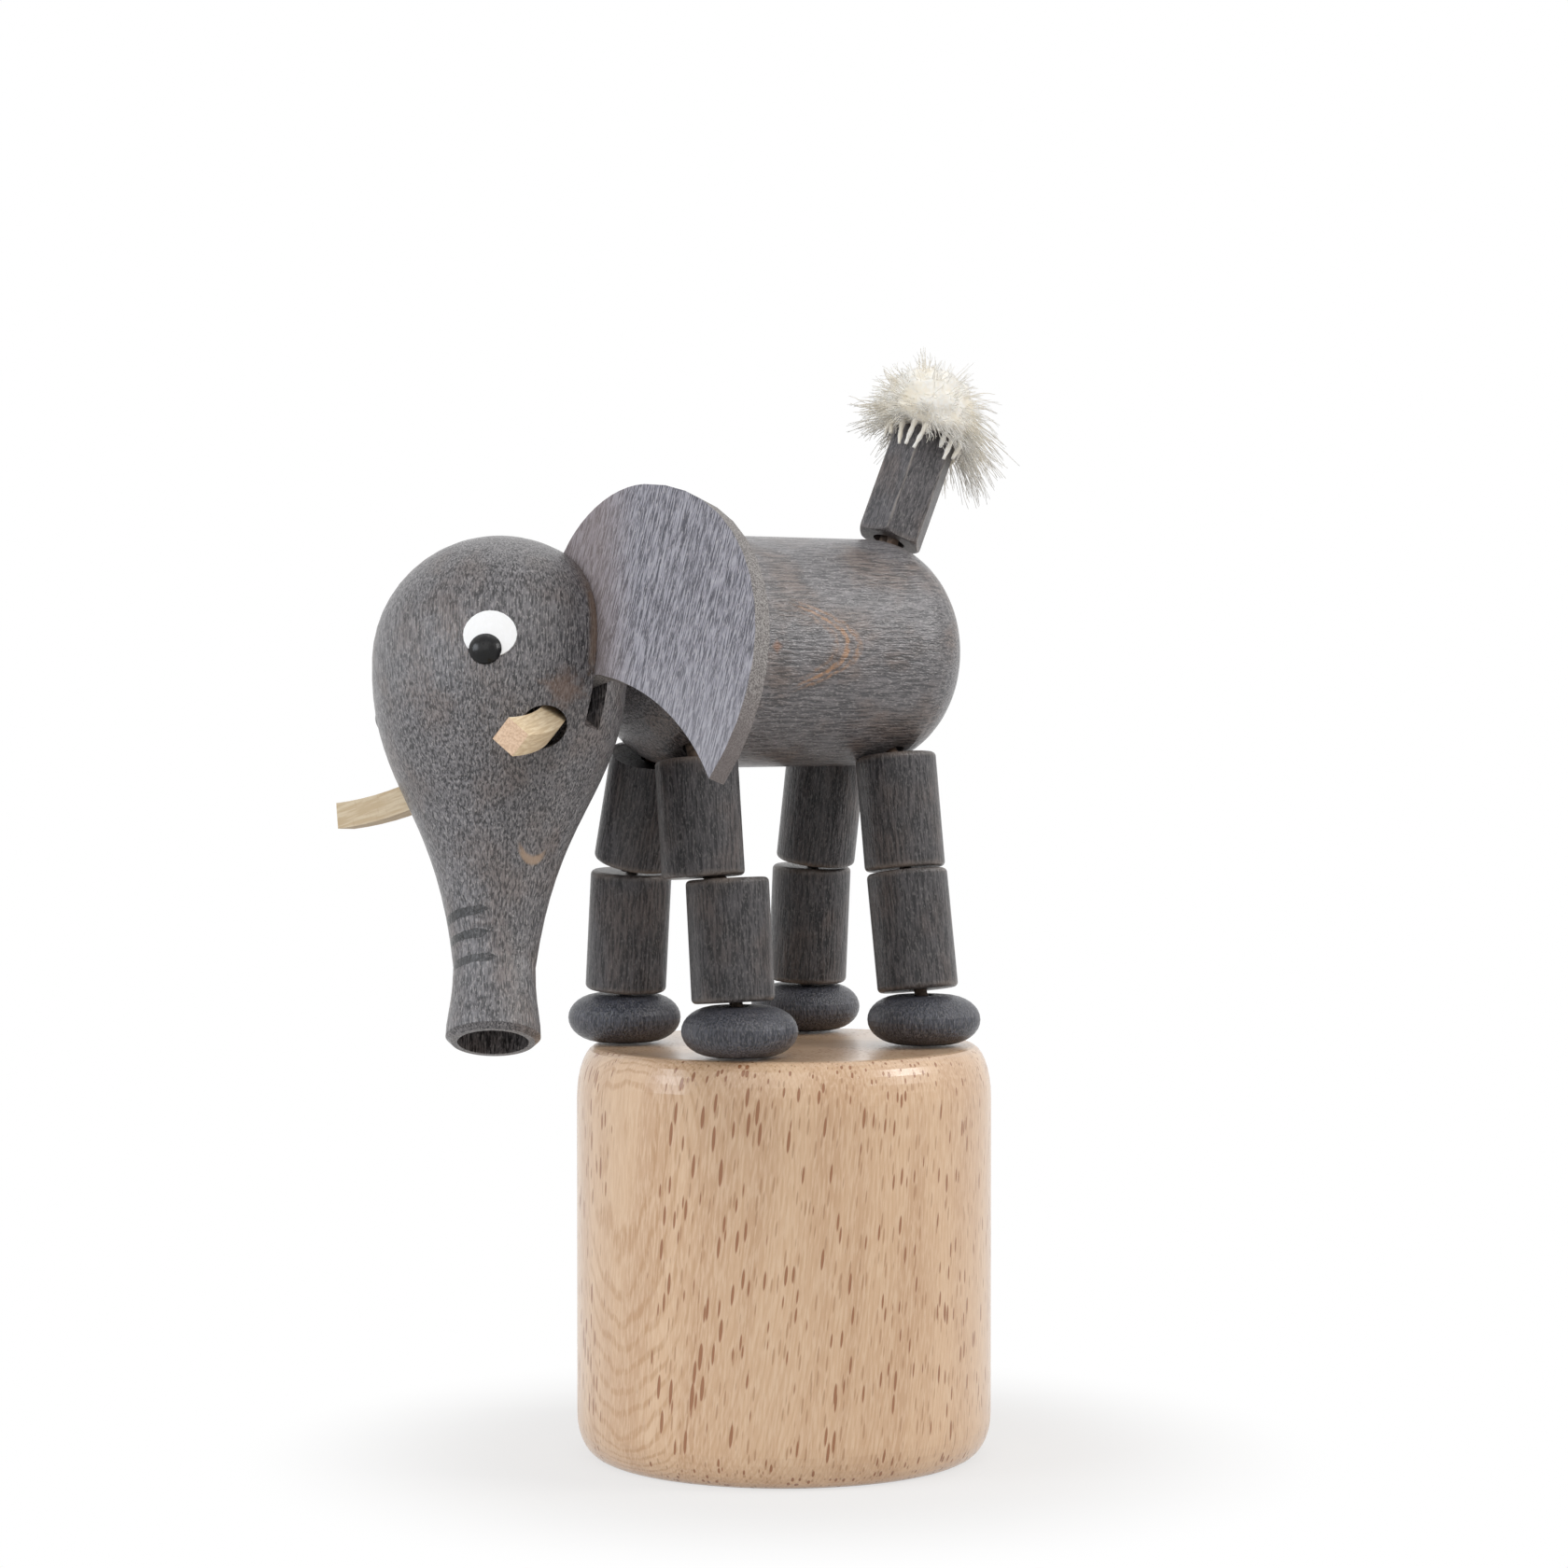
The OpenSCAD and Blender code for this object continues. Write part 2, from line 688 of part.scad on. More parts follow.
module pupil(side) {
    dome_r = (pow(pupil_d/2, 2) + pow(pupil_h, 2))/(2*pupil_h);
    color("black")
        head_place()
            difference() {
                eye_place(side, eye_drop + pupil_drop, eye_round[which(side)] - pupil_forward)
                    translate([0, 0, pupil_h - dome_r])
                        intersection() {
                            sphere(r = dome_r);
                            translate([0, 0, dome_r - 2*pupil_h])
                                cylinder(d = pupil_d, h = 3*pupil_h);
                        }
                head_solid();
                eye_blank(side);
            }
}

module tail() {
    color(grey_stain)
        along(tail_foot, tail_way)
            rotate([0, 0, tail_turn])
                difference() {
                    intersection() {
                        cylinder(d = tail_d, h = tail_h, $fn = 6);
                        dowel(tail_d, tail_h, tail_round);
                    }
                    bore(tail_h, pair_bore_d);
                }
}

module tail_cord() {
    color(cotton)
        along(tail_foot, tail_way)
            cylinder(d = 2*cord_d, h = tail_h);
}

// The tuft is one solid: each cell of a dome of cotton grows into one bent, tapering strand
module tail_tuft() {
    cells = tuft_rings*tuft_around;
    dome_top = 12;
    dome_foot = 84;
    strand_share = 0.8;
    strand_step = 0.02;
    strand_taper = 0.9;
    function polar(r) = dome_top + (dome_foot - dome_top)*r/tuft_rings;
    function out_way(a, b) = [sin(a)*cos(b), sin(a)*sin(b), cos(a)];
    // Bends a strand down and towards the back, more and more with the distance from its root
    function droop(p) = let (f = max(0, norm(p) - tuft_root_r)/tuft_l, s = norm([p[0], p[1]])/norm(p))
        p + [-tuft_back*f*f, 0, -tuft_droop*f*f*f*s*s];
    function strand_l(r, k) = tuft_short_l + (tuft_l - tuft_short_l)*rands(0, 1, 1, r*tuft_around + k)[0];
    function strand_at(r, k, l) =
        droop((tuft_root_r + l)*out_way(polar(r + 0.5), 360*(k + 0.5)/tuft_around));
    function foot_at(r, k, j) = let (m = strand_share/2,
            dr = 0.5 + m*[-1, 1, 1, -1][j], dk = 0.5 + m*[-1, -1, 1, 1][j])
        (tuft_root_r + strand_step)*out_way(polar(r + dr), 360*(k + dk)/tuft_around);
    rings = [0:tuft_rings - 1];
    places = [0:tuft_around - 1];
    corners = [for (r = [0:tuft_rings], k = places) tuft_root_r*out_way(polar(r), 360*k/tuft_around)];
    feet = [for (r = rings, k = places, j = [0:3]) foot_at(r, k, j)];
    bends = [for (r = rings, k = places, j = [0:3])
        strand_at(r, k, tuft_bend_l) + strand_taper*(foot_at(r, k, j) - strand_at(r, k, strand_step))];
    tips = [for (r = rings, k = places) strand_at(r, k, strand_l(r, k))];
    ends = [[0, 0, tuft_root_r], [0, 0, tuft_root_r*cos(dome_foot)]];
    feet_0 = len(corners);
    bends_0 = feet_0 + len(feet);
    tips_0 = bends_0 + len(bends);
    end_0 = tips_0 + cells;
    last_ring = tuft_rings*tuft_around;
    faces = concat(
        [for (r = rings, k = places) let (
                m = (k + 1) % tuft_around, cell = r*tuft_around + k,
                f = feet_0 + 4*cell, b = bends_0 + 4*cell,
                c = [cell, (r + 1)*tuft_around + k, (r + 1)*tuft_around + m, r*tuft_around + m])
            each [for (j = [0:3]) let (n = (j + 1) % 4)
                each [[c[n], c[j], f + j], [c[n], f + j, f + n], [f + n, f + j, b + j],
                    [f + n, b + j, b + n], [b + n, b + j, tips_0 + cell]]]],
        [for (k = places) [end_0, (k + 1) % tuft_around, k]],
        [for (k = places) [end_0 + 1, last_ring + k, last_ring + (k + 1) % tuft_around]]);
    color(cotton)
        along(tail_head, tail_way)
            translate([0, 0, -tuft_root_r*cos(dome_foot)])
                polyhedron(concat(corners, feet, bends, tips, ends), faces);
}

drum();
push_button();
return_spring();
drum_cords();
cord_knots();
foot(0);  // foot_front_left
foot(1);  // foot_front_right
foot(2);  // foot_rear_left
foot(3);  // foot_rear_right
lower_leg(0);  // lower_leg_front_left
lower_leg(1);  // lower_leg_front_right
lower_leg(2);  // lower_leg_rear_left
lower_leg(3);  // lower_leg_rear_right
upper_leg(0);  // upper_leg_front_left
upper_leg(1);  // upper_leg_front_right
upper_leg(2);  // upper_leg_rear_left
upper_leg(3);  // upper_leg_rear_right
foot_cord(0);  // foot_cord_front_left
foot_cord(1);  // foot_cord_front_right
foot_cord(2);  // foot_cord_rear_left
foot_cord(3);  // foot_cord_rear_right
lower_cord(0);  // lower_cord_front_left
lower_cord(1);  // lower_cord_front_right
lower_cord(2);  // lower_cord_rear_left
lower_cord(3);  // lower_cord_rear_right
upper_cord(0);  // upper_cord_front_left
upper_cord(1);  // upper_cord_front_right
upper_cord(2);  // upper_cord_rear_left
upper_cord(3);  // upper_cord_rear_right
body();
front_cords();
rear_cords();
head();
neck_cord();
ear(1);  // ear_left
ear(-1);  // ear_right
tusk(1);  // tusk_left
tusk(-1);  // tusk_right
eye_white(1);  // eye_white_left
eye_white(-1);  // eye_white_right
pupil(1);  // pupil_left
pupil(-1);  // pupil_right
tail();
tail_cord();
tail_tuft();
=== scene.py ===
"""Looks of the push puppet: stained wood, beech, cotton, painted eyes, light and camera."""
import math
import random

import bpy
import numpy as np
from mathutils import Euler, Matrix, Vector


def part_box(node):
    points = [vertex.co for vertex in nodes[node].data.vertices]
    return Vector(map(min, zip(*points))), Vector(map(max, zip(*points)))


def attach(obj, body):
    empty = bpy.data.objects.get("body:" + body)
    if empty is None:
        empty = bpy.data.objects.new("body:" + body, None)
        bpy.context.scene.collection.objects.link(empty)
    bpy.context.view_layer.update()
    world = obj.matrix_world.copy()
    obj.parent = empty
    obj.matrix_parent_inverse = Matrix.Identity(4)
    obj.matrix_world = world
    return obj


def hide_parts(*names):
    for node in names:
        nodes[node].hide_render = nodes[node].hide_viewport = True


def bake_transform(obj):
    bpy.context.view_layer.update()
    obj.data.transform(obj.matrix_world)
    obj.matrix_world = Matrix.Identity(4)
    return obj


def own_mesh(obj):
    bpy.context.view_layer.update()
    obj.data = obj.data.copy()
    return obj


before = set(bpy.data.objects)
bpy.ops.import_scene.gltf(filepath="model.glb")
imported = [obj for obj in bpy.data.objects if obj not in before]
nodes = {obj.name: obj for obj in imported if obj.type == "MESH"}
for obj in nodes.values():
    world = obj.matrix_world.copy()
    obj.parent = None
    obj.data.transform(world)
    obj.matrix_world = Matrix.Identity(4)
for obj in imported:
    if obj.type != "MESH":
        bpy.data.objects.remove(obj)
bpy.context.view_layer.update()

MM = 0.001

# Camera, fitted to the photo: distance, height and clip in metres, side in degrees from +Y to +X
IMAGE_PX = 1680
FOCAL_PX = 4132
HORIZON_PX = 736
CAMERA_DISTANCE = 0.372
CAMERA_HEIGHT = 0.074
CAMERA_SIDE = 36.2
SENSOR_MM = 36
CLIP_START = 0.01

# Pose of the head in the part, and sizes that the frame's boxes don't give
HEAD_R = 11.7 * MM
HEAD_ROLL = 20
HEAD_PITCH = 14.5
TAIL_CORNER_MM = 3.4
CORD_D = 1.2 * MM
PAIR_HALF = 0.66 * MM
BUTTON_HOLE_R = 10.4 * MM
WIRE_D = 1 * MM
SPRING_D = 13 * MM
SPRING_TURNS = 7
UP = Vector((0, 0, 1))
LEGS = ("front_left", "front_right", "rear_left", "rear_right")


def srgb(red, green, blue):
    """A colour as a picture shows it, 0 to 255, in the linear values that shaders take."""
    def linear(value):
        share = value / 255
        return share / 12.92 if share <= 0.04045 else ((share + 0.055) / 1.055) ** 2.4
    return (linear(red), linear(green), linear(blue), 1.0)


# Beech of the drum and button
BEECH_TAN = srgb(208, 169, 132)
BEECH_PALE = srgb(223, 187, 150)
BEECH_RING = srgb(187, 140, 95)
BEECH_FIBRE = srgb(240, 211, 179)
BEECH_LINE = srgb(166, 118, 78)
BEECH_FLECK = srgb(154, 99, 57)
# Stain: brown where it wore through, rubbed edges and corners
WORN_DARK = srgb(66, 54, 47)
WORN_LIGHT = srgb(124, 105, 93)
RUBBED_EDGE = srgb(136, 124, 115)
RUBBED_CORNER = srgb(158, 150, 144)
# Marks on the head and body
SLOT_WOOD = srgb(126, 103, 84)
CHEEK_WOOD = srgb(132, 106, 90)
CRESCENT_WOOD = srgb(168, 142, 118)
STROKE_BLACK = srgb(6, 6, 7)
ARCH_BROWN = srgb(172, 130, 94)
SPOT_BROWN = srgb(150, 101, 68)
# Ears: faces and sawn edge, the faces lighter low down as painted light and the sawn edge darker low down
# as painted shade
EAR_DARK = srgb(86, 85, 92)
EAR_LIGHT = srgb(164, 162, 170)
EAR_BAND = srgb(98, 97, 106)
EAR_FLECK = srgb(198, 194, 197)
EAR_ROOT = srgb(136, 120, 115)
# Painted light: the ear faces are made lighter towards the bottom of the plate
EAR_PAINTED_LIGHT = srgb(182, 181, 188)
SAWN_DARK = srgb(100, 95, 94)
SAWN_LIGHT = srgb(170, 166, 163)
# Painted shade: the sawn edge is made darker towards the bottom of the plate
SAWN_PAINTED_SHADE = srgb(116, 108, 107)
# Tusks: saw marks and end grain
SAW_MARK = srgb(180, 150, 114)
END_DARK = srgb(214, 179, 147)
END_LIGHT = srgb(237, 207, 178)
# Spring and floor
STEEL_DARK = srgb(150, 150, 153)
STEEL_LIGHT = srgb(190, 190, 193)
FLOOR_GREY = srgb(204, 201, 198)
# Light and shade of paint
EYE_PAINT = (srgb(253, 253, 252), srgb(255, 255, 255))
PUPIL_PAINT = (srgb(8, 8, 9), srgb(13, 13, 14))
# Light, shade and patches of cotton
CORD_COTTON = (srgb(128, 110, 96), srgb(96, 82, 72), srgb(112, 84, 64))
TUFT_COTTON = (srgb(255, 253, 247), srgb(252, 247, 236), srgb(252, 240, 214))


# Places read off the frame


def middle(node):
    low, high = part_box(node)
    return (low + high) / 2


def axes(node):
    """Directions in which a node's points spread least, more and most."""
    points = np.array([vertex.co for vertex in nodes[node].data.vertices])
    points -= np.array(middle(node))
    spreads, ways = np.linalg.eigh(points.T @ points)
    return [Vector(ways[:, k]).normalized() for k in np.argsort(spreads)]


def ends(node, way):
    """The middles of a straight piece's two ends along a direction."""
    points = np.array([vertex.co for vertex in nodes[node].data.vertices])
    along = points @ np.array(way)
    centre = middle(node)
    offset = centre.dot(way)
    return [centre + way * (float(limit) - offset) for limit in (along.min(), along.max())]


def upward(way):
    return way if way.z > 0 else -way


def bead_ends(node, cord):
    """Lower and upper end of a bead along the straight cord in it."""
    most_spread = axes(cord)[2]
    return ends(node, upward(most_spread))


def turn_to(way):
    return way.to_track_quat("Z", "Y").to_euler()


def ball_middle(node, radius):
    """Middle of a ball that touches the rear, right and top of a node's box."""
    low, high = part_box(node)
    return Vector((low.x + radius, low.y + radius, high.z - radius))


head_mid = ball_middle("head", HEAD_R)
head_turn = Euler((math.radians(HEAD_ROLL), math.radians(-HEAD_PITCH), 0))
body_mid = middle("body")
tail_foot, tail_head = bead_ends("tail", "tail_cord")
tail_way = (tail_head - tail_foot).normalized()
rearward = Vector((-1, 0, 0))
tail_back = (rearward - tail_way * rearward.dot(tail_way)).normalized()
tail_side = tail_way.cross(tail_back)


class Graph:
    """Nodes of a material or the world, built by calls that take numbers or the outputs of other calls."""

    def __init__(self, owner):
        owner.use_nodes = True
        self.owner = owner
        self.tree = owner.node_tree
        self.shader = self.tree.nodes.get("Principled BSDF")

    def put(self, socket, value):
        if isinstance(value, bpy.types.NodeSocket):
            self.tree.links.new(value, socket)
        else:
            socket.default_value = value

    def add(self, kind, inputs, output=0, **settings):
        node = self.tree.nodes.new("ShaderNode" + kind)
        for key, value in settings.items():
            setattr(node, key, value)
        for key, value in inputs.items():
            self.put(node.inputs[key], value)
        return node.outputs[output]

    def surface(self, **inputs):
        for key, value in inputs.items():
            self.put(self.shader.inputs[key.replace("_", " ")], value)
        return self.owner

    def local(self, place=(0, 0, 0), turn=(0, 0, 0)):
        """Millimetres in a frame of the piece's own, which moves with it."""
        where = self.add("TexCoord", {}, "Object")
        return self.add("Mapping", {"Vector": where, "Location": place, "Rotation": turn,
                                    "Scale": (MM, MM, MM)}, vector_type="TEXTURE")

    def stretch(self, where, across, along):
        """Places in which a pattern repeats so many times a millimetre across the grain and along it."""
        return self.add("VectorMath", {0: where, 1: (across, across, along)}, operation="MULTIPLY")

    def split(self, where):
        node = self.tree.nodes.new("ShaderNodeSeparateXYZ")
        self.put(node.inputs[0], where)
        return node.outputs

    def noise(self, where, scale, detail, seed):
        return self.add("TexNoise", {"Vector": where, "W": seed, "Scale": scale, "Detail": detail},
                        noise_dimensions="4D")

    def streaks(self, where, across, along, detail, seed):
        """Noise drawn out along the grain, local Z."""
        return self.noise(self.stretch(where, across, along), 1.0, detail, seed)

    def cells(self, where):
        """Distance from the middle of the nearest of many scattered cells."""
        return self.add("TexVoronoi", {"Vector": where, "Scale": 1.0})

    def math(self, operation, a, b=0.0):
        return self.add("Math", {0: a, 1: b}, operation=operation)

    def plus(self, a, b):
        return self.math("ADD", a, b)

    def minus(self, a, b):
        return self.math("SUBTRACT", a, b)

    def times(self, a, b):
        return self.math("MULTIPLY", a, b)

    def over(self, a, b):
        return self.math("DIVIDE", a, b)

    def absolute(self, value):
        return self.math("ABSOLUTE", value)

    def ramp(self, value, low, high, start=0.0, end=1.0):
        """Runs smoothly from start to end while the value goes from low to high."""
        return self.add("MapRange", {"Value": value, 1: low, 2: high, 3: start, 4: end},
                        interpolation_type="SMOOTHSTEP")

    def mix(self, share, a, b):
        return self.add("Mix", {0: share, 6: a, 7: b}, 2, data_type="RGBA")

    def bump(self, height, distance):
        """Relief from a height of 0 to 1, so many millimetres deep."""
        return self.add("Bump", {"Height": height, "Distance": distance * MM, "Strength": 1.0})

    def radius(self, where):
        x, y, _ = self.split(where)
        return self.math("SQRT", self.plus(self.times(x, x), self.times(y, y)))

    def facing(self, way):
        """How squarely the surface faces along a direction of the piece, 0 to 1."""
        normal = self.add("TexCoord", {}, "Normal")
        along = self.add("VectorMath", {0: normal, 1: way}, "Value", operation="DOT_PRODUCT")
        return self.absolute(along)


# Wood


# Rings of the beech: how they bulge with height, wander, and repeat with depth
RING_BULGE = 0.0042
RING_WANDER = 1.1
RING_REPEAT = 15.0


def beech(name, turn, mid_height, seed):
    """Oiled beech: rings in ovals where the saw grazed them, with slim brown flecks beside them."""
    g = Graph(bpy.data.materials.new(name))
    where = g.local((0, 0, 0), turn)
    x, y, z = g.split(where)
    across = g.absolute(y)
    rise = g.minus(z, mid_height)
    bulge = g.times(g.times(rise, rise), RING_BULGE)
    wander = g.streaks(where, 0.25, 0.08, 2.0, seed)
    depth = g.plus(g.minus(x, bulge), g.times(wander, RING_WANDER))
    rings = g.ramp(g.math("SINE", g.times(depth, RING_REPEAT)), 0.1, 1.0)
    bands = g.streaks(where, 0.35, 0.02, 2.0, seed + 1)
    fibre = g.streaks(where, 5.0, 0.5, 3.0, seed + 2)
    size = g.streaks(where, 0.5, 0.2, 1.0, seed + 3)
    reach = g.times(g.ramp(across, 1.5, 5.0, 0.05, 0.3), g.ramp(across, 8.0, 15.0, 1.0, 0.74))
    reach = g.times(reach, g.ramp(size, 0.35, 0.65, 0.75, 1.15))
    fleck = g.ramp(g.minus(reach, g.cells(g.stretch(where, 1.6, 0.22))), -0.02, 0.06)
    line = g.ramp(g.minus(0.25, g.cells(g.stretch(where, 2.2, 0.28))), -0.03, 0.08)
    colour = g.mix(g.ramp(bands, 0.35, 0.65), BEECH_TAN, BEECH_PALE)
    colour = g.mix(g.times(rings, g.ramp(across, 4.0, 9.0, 0.55, 0.2)), colour, BEECH_RING)
    colour = g.mix(g.ramp(fibre, 0.42, 0.66, 0.0, 0.5), colour, BEECH_FIBRE)
    colour = g.mix(g.times(line, g.ramp(across, 2.0, 6.0, 0.1, 0.55)), colour, BEECH_LINE)
    colour = g.mix(g.times(fleck, 0.95), colour, BEECH_FLECK)
    height = g.minus(g.times(fibre, 0.5), g.times(fleck, 0.7))
    bump = g.bump(height, 0.03)
    return g.surface(Base_Color=colour, Roughness=g.ramp(fibre, 0.3, 0.7, 0.4, 0.55), Normal=bump,
                     Coat_Weight=0.8, Coat_Roughness=0.2, Coat_Normal=bump)


# Stain: its middle grey and the grain's swing about it at full contrast, out of 255, and its pale flecks
STAIN_GREY = 84
STAIN_SWING = 50
STAIN_FLECK = (176, 171, 170)


def grey_wood(name, place, turn, seed, tone, warm, contrast, blue=0.0, grain=(6.0, 0.8), coat=0.4,
              length=None, corner=None, marks=None):
    """Wood under a thin charcoal stain: fine flecked grain along local Z, brown where it wore through.

    grain is flecks a millimetre, across and along; length is a bead's own length, whose edges are worn;
    corner is the radius of worn corners; marks adds what one piece alone has."""
    g = Graph(bpy.data.materials.new(name))
    where = g.local(place, turn)
    across, along = grain
    streak = g.streaks(where, across, along, 3.0, seed)
    fine = g.streaks(where, 7.0, 2.4, 2.0, seed + 1)
    cloud = g.streaks(where, 0.22, 0.16, 3.0, seed + 2)
    low = (STAIN_GREY - STAIN_SWING * contrast) * tone
    high = (STAIN_GREY + STAIN_SWING * contrast) * tone
    dark = srgb(low - 4 * blue, low - 1, low + 1 + 6 * blue)
    light = srgb(high - 5 * blue, high - 3, high - 1 + 8 * blue)
    pale = srgb(*(part * tone for part in STAIN_FLECK))
    colour = g.mix(g.ramp(streak, 0.4, 0.6), dark, light)
    colour = g.mix(g.ramp(fine, 0.53, 0.64, 0.0, 0.8 * contrast), colour, pale)
    brown = g.mix(g.ramp(streak, 0.4, 0.6), WORN_DARK, WORN_LIGHT)
    colour = g.mix(g.ramp(cloud, 0.45, 0.66, 0.0, warm), colour, brown)
    if length is not None:
        _, _, z = g.split(where)
        edge = g.ramp(g.absolute(z), length / 2 - 0.75, length / 2 - 0.1)
        edge = g.times(edge, g.ramp(cloud, 0.35, 0.6, 0.15, 0.6))
        colour = g.mix(edge, colour, RUBBED_EDGE)
    if corner is not None:
        rub = g.ramp(g.radius(where), 0.962 * corner, 0.998 * corner)
        rub = g.times(rub, g.ramp(streak, 0.35, 0.6, 0.1, 0.65))
        colour = g.mix(rub, colour, RUBBED_CORNER)
    rough = g.ramp(fine, 0.35, 0.65, 0.4, 0.6)
    height = g.plus(g.times(streak, 0.8), g.times(fine, 0.5))
    if marks is not None:
        colour, rough = marks(g, where, colour, rough)
    bump = g.bump(height, 0.16)
    return g.surface(Base_Color=colour, Roughness=rough, Normal=bump, Specular_IOR_Level=0.12,
                     Coat_Weight=coat, Coat_Roughness=0.22, Coat_Normal=bump)


# Strokes of black paint on the trunk: height from the head's middle, first and last angle round it
TRUNK_STROKES = ((-25.8, -62, 50), (-27.85, -60, 50), (-30.1, -58, 62))
STROKE_HALF = 0.42
# Angles round the head, in degrees from its front, and heights from its middle, in millimetres
SLOT_LEFT = 102.0
SLOT_RIGHT = 120.6
CHEEK_ANGLE = 88.0
CHEEK_HEIGHT = -6.5
CRESCENT_ANGLE = 90.5
CRESCENT_HEIGHT = -21.2


def head_marks(g, where, colour, rough):
    """Black strokes on the trunk, a pale crescent under the cheek and bare wood round the ear slots."""
    x, y, z = g.split(where)
    around = g.times(g.math("ARCTAN2", y, x), math.degrees(1))
    waver = g.times(g.minus(g.noise(where, 1.6, 3.0, 41.0), 0.5), 0.5)
    side = g.absolute(around)
    slots_mid, slots_half = (SLOT_RIGHT + SLOT_LEFT) / 2, (SLOT_RIGHT - SLOT_LEFT) / 2
    slot_at = g.minus(slots_mid, g.times(g.math("SIGN", around), slots_half))
    rim = g.ramp(g.absolute(g.minus(side, slot_at)), 0.8, 4.6, 0.7, 0.0)
    rim_height = g.plus(z, g.times(waver, 12.0))
    rim = g.times(rim, g.ramp(rim_height, -5.0, -2.0))
    rim = g.times(rim, g.ramp(rim_height, 2.5, 5.5, 1.0, 0.2))
    colour = g.mix(rim, colour, SLOT_WOOD)
    cheek_round = g.absolute(g.over(g.minus(side, CHEEK_ANGLE), 15.0))
    cheek_up = g.absolute(g.over(g.minus(z, CHEEK_HEIGHT), 2.4))
    cheek_off = g.plus(g.plus(cheek_round, cheek_up), g.times(waver, 3.0))
    colour = g.mix(g.ramp(cheek_off, 0.2, 1.2, 0.55, 0.0), colour, CHEEK_WOOD)
    arc = g.over(g.minus(around, CRESCENT_ANGLE), 15.5)
    arc = g.times(arc, arc)
    off = g.absolute(g.minus(g.minus(z, arc), CRESCENT_HEIGHT))
    off = g.plus(off, g.times(waver, 0.6))
    crescent = g.times(g.ramp(off, 0.2, 0.6, 0.8, 0.0), g.ramp(arc, 0.3, 1.2, 1.0, 0.0))
    colour = g.mix(crescent, colour, CRESCENT_WOOD)
    dry = g.times(g.ramp(around, 5.0, 45.0), g.ramp(g.noise(where, 4.5, 2.0, 43.0), 0.42, 0.58))
    for height, first, last in TRUNK_STROKES:
        mid, half = (first + last) / 2, (last - first) / 2
        share = g.over(g.minus(around, mid), half)
        share = g.times(share, share)
        width = g.times(g.ramp(share, 0.55, 1.0, 1.0, 0.0), STROKE_HALF)
        off = g.absolute(g.minus(g.plus(z, waver), height))
        stroke = g.ramp(g.minus(width, off), -0.03, 0.06)
        stroke = g.times(stroke, g.minus(1.0, g.times(dry, 0.4)))
        colour = g.mix(stroke, colour, STROKE_BLACK)
        rough = g.minus(rough, g.times(stroke, 0.15))
    return colour, rough


# Middles of the arch and the spot on the body, in millimetres across and along its axis
ARCH_AT = (-0.55, -0.7)
SPOT_AT = (-0.4, 8.0)


def body_marks(g, where, colour, rough):
    """An arch of brown ring grain on the left side, and a small brown spot beside it."""
    x, y, z = g.split(where)
    on_left = g.ramp(y, 6.0, 9.0)
    rise = g.minus(x, ARCH_AT[0])
    rise = g.times(rise, rise)
    waver = g.times(g.minus(g.noise(where, 0.9, 3.0, 23.0), 0.5), 1.6)
    arch = g.minus(g.minus(z, ARCH_AT[1]), g.times(rise, 0.4))
    arch = g.plus(arch, waver)
    lines = g.math("SINE", g.times(arch, 4.2))
    reach = g.ramp(g.absolute(g.minus(arch, 0.2)), 0.5, 2.4, 1.0, 0.0)
    reach = g.times(reach, g.ramp(z, 3.0, 6.5, 1.0, 0.0))
    reach = g.times(reach, on_left)
    stain = g.times(g.ramp(lines, -0.6, 0.7, 0.1, 0.85), reach)
    stain = g.times(stain, g.ramp(g.noise(where, 2.2, 3.0, 29.0), 0.35, 0.6, 0.25, 1.0))
    colour = g.mix(stain, colour, ARCH_BROWN)
    spot_off = g.plus(g.absolute(g.minus(z, SPOT_AT[1])), g.absolute(g.minus(x, SPOT_AT[0])))
    spot = g.times(g.ramp(spot_off, 0.2, 0.9, 0.6, 0.0), on_left)
    colour = g.mix(spot, colour, SPOT_BROWN)
    return colour, rough


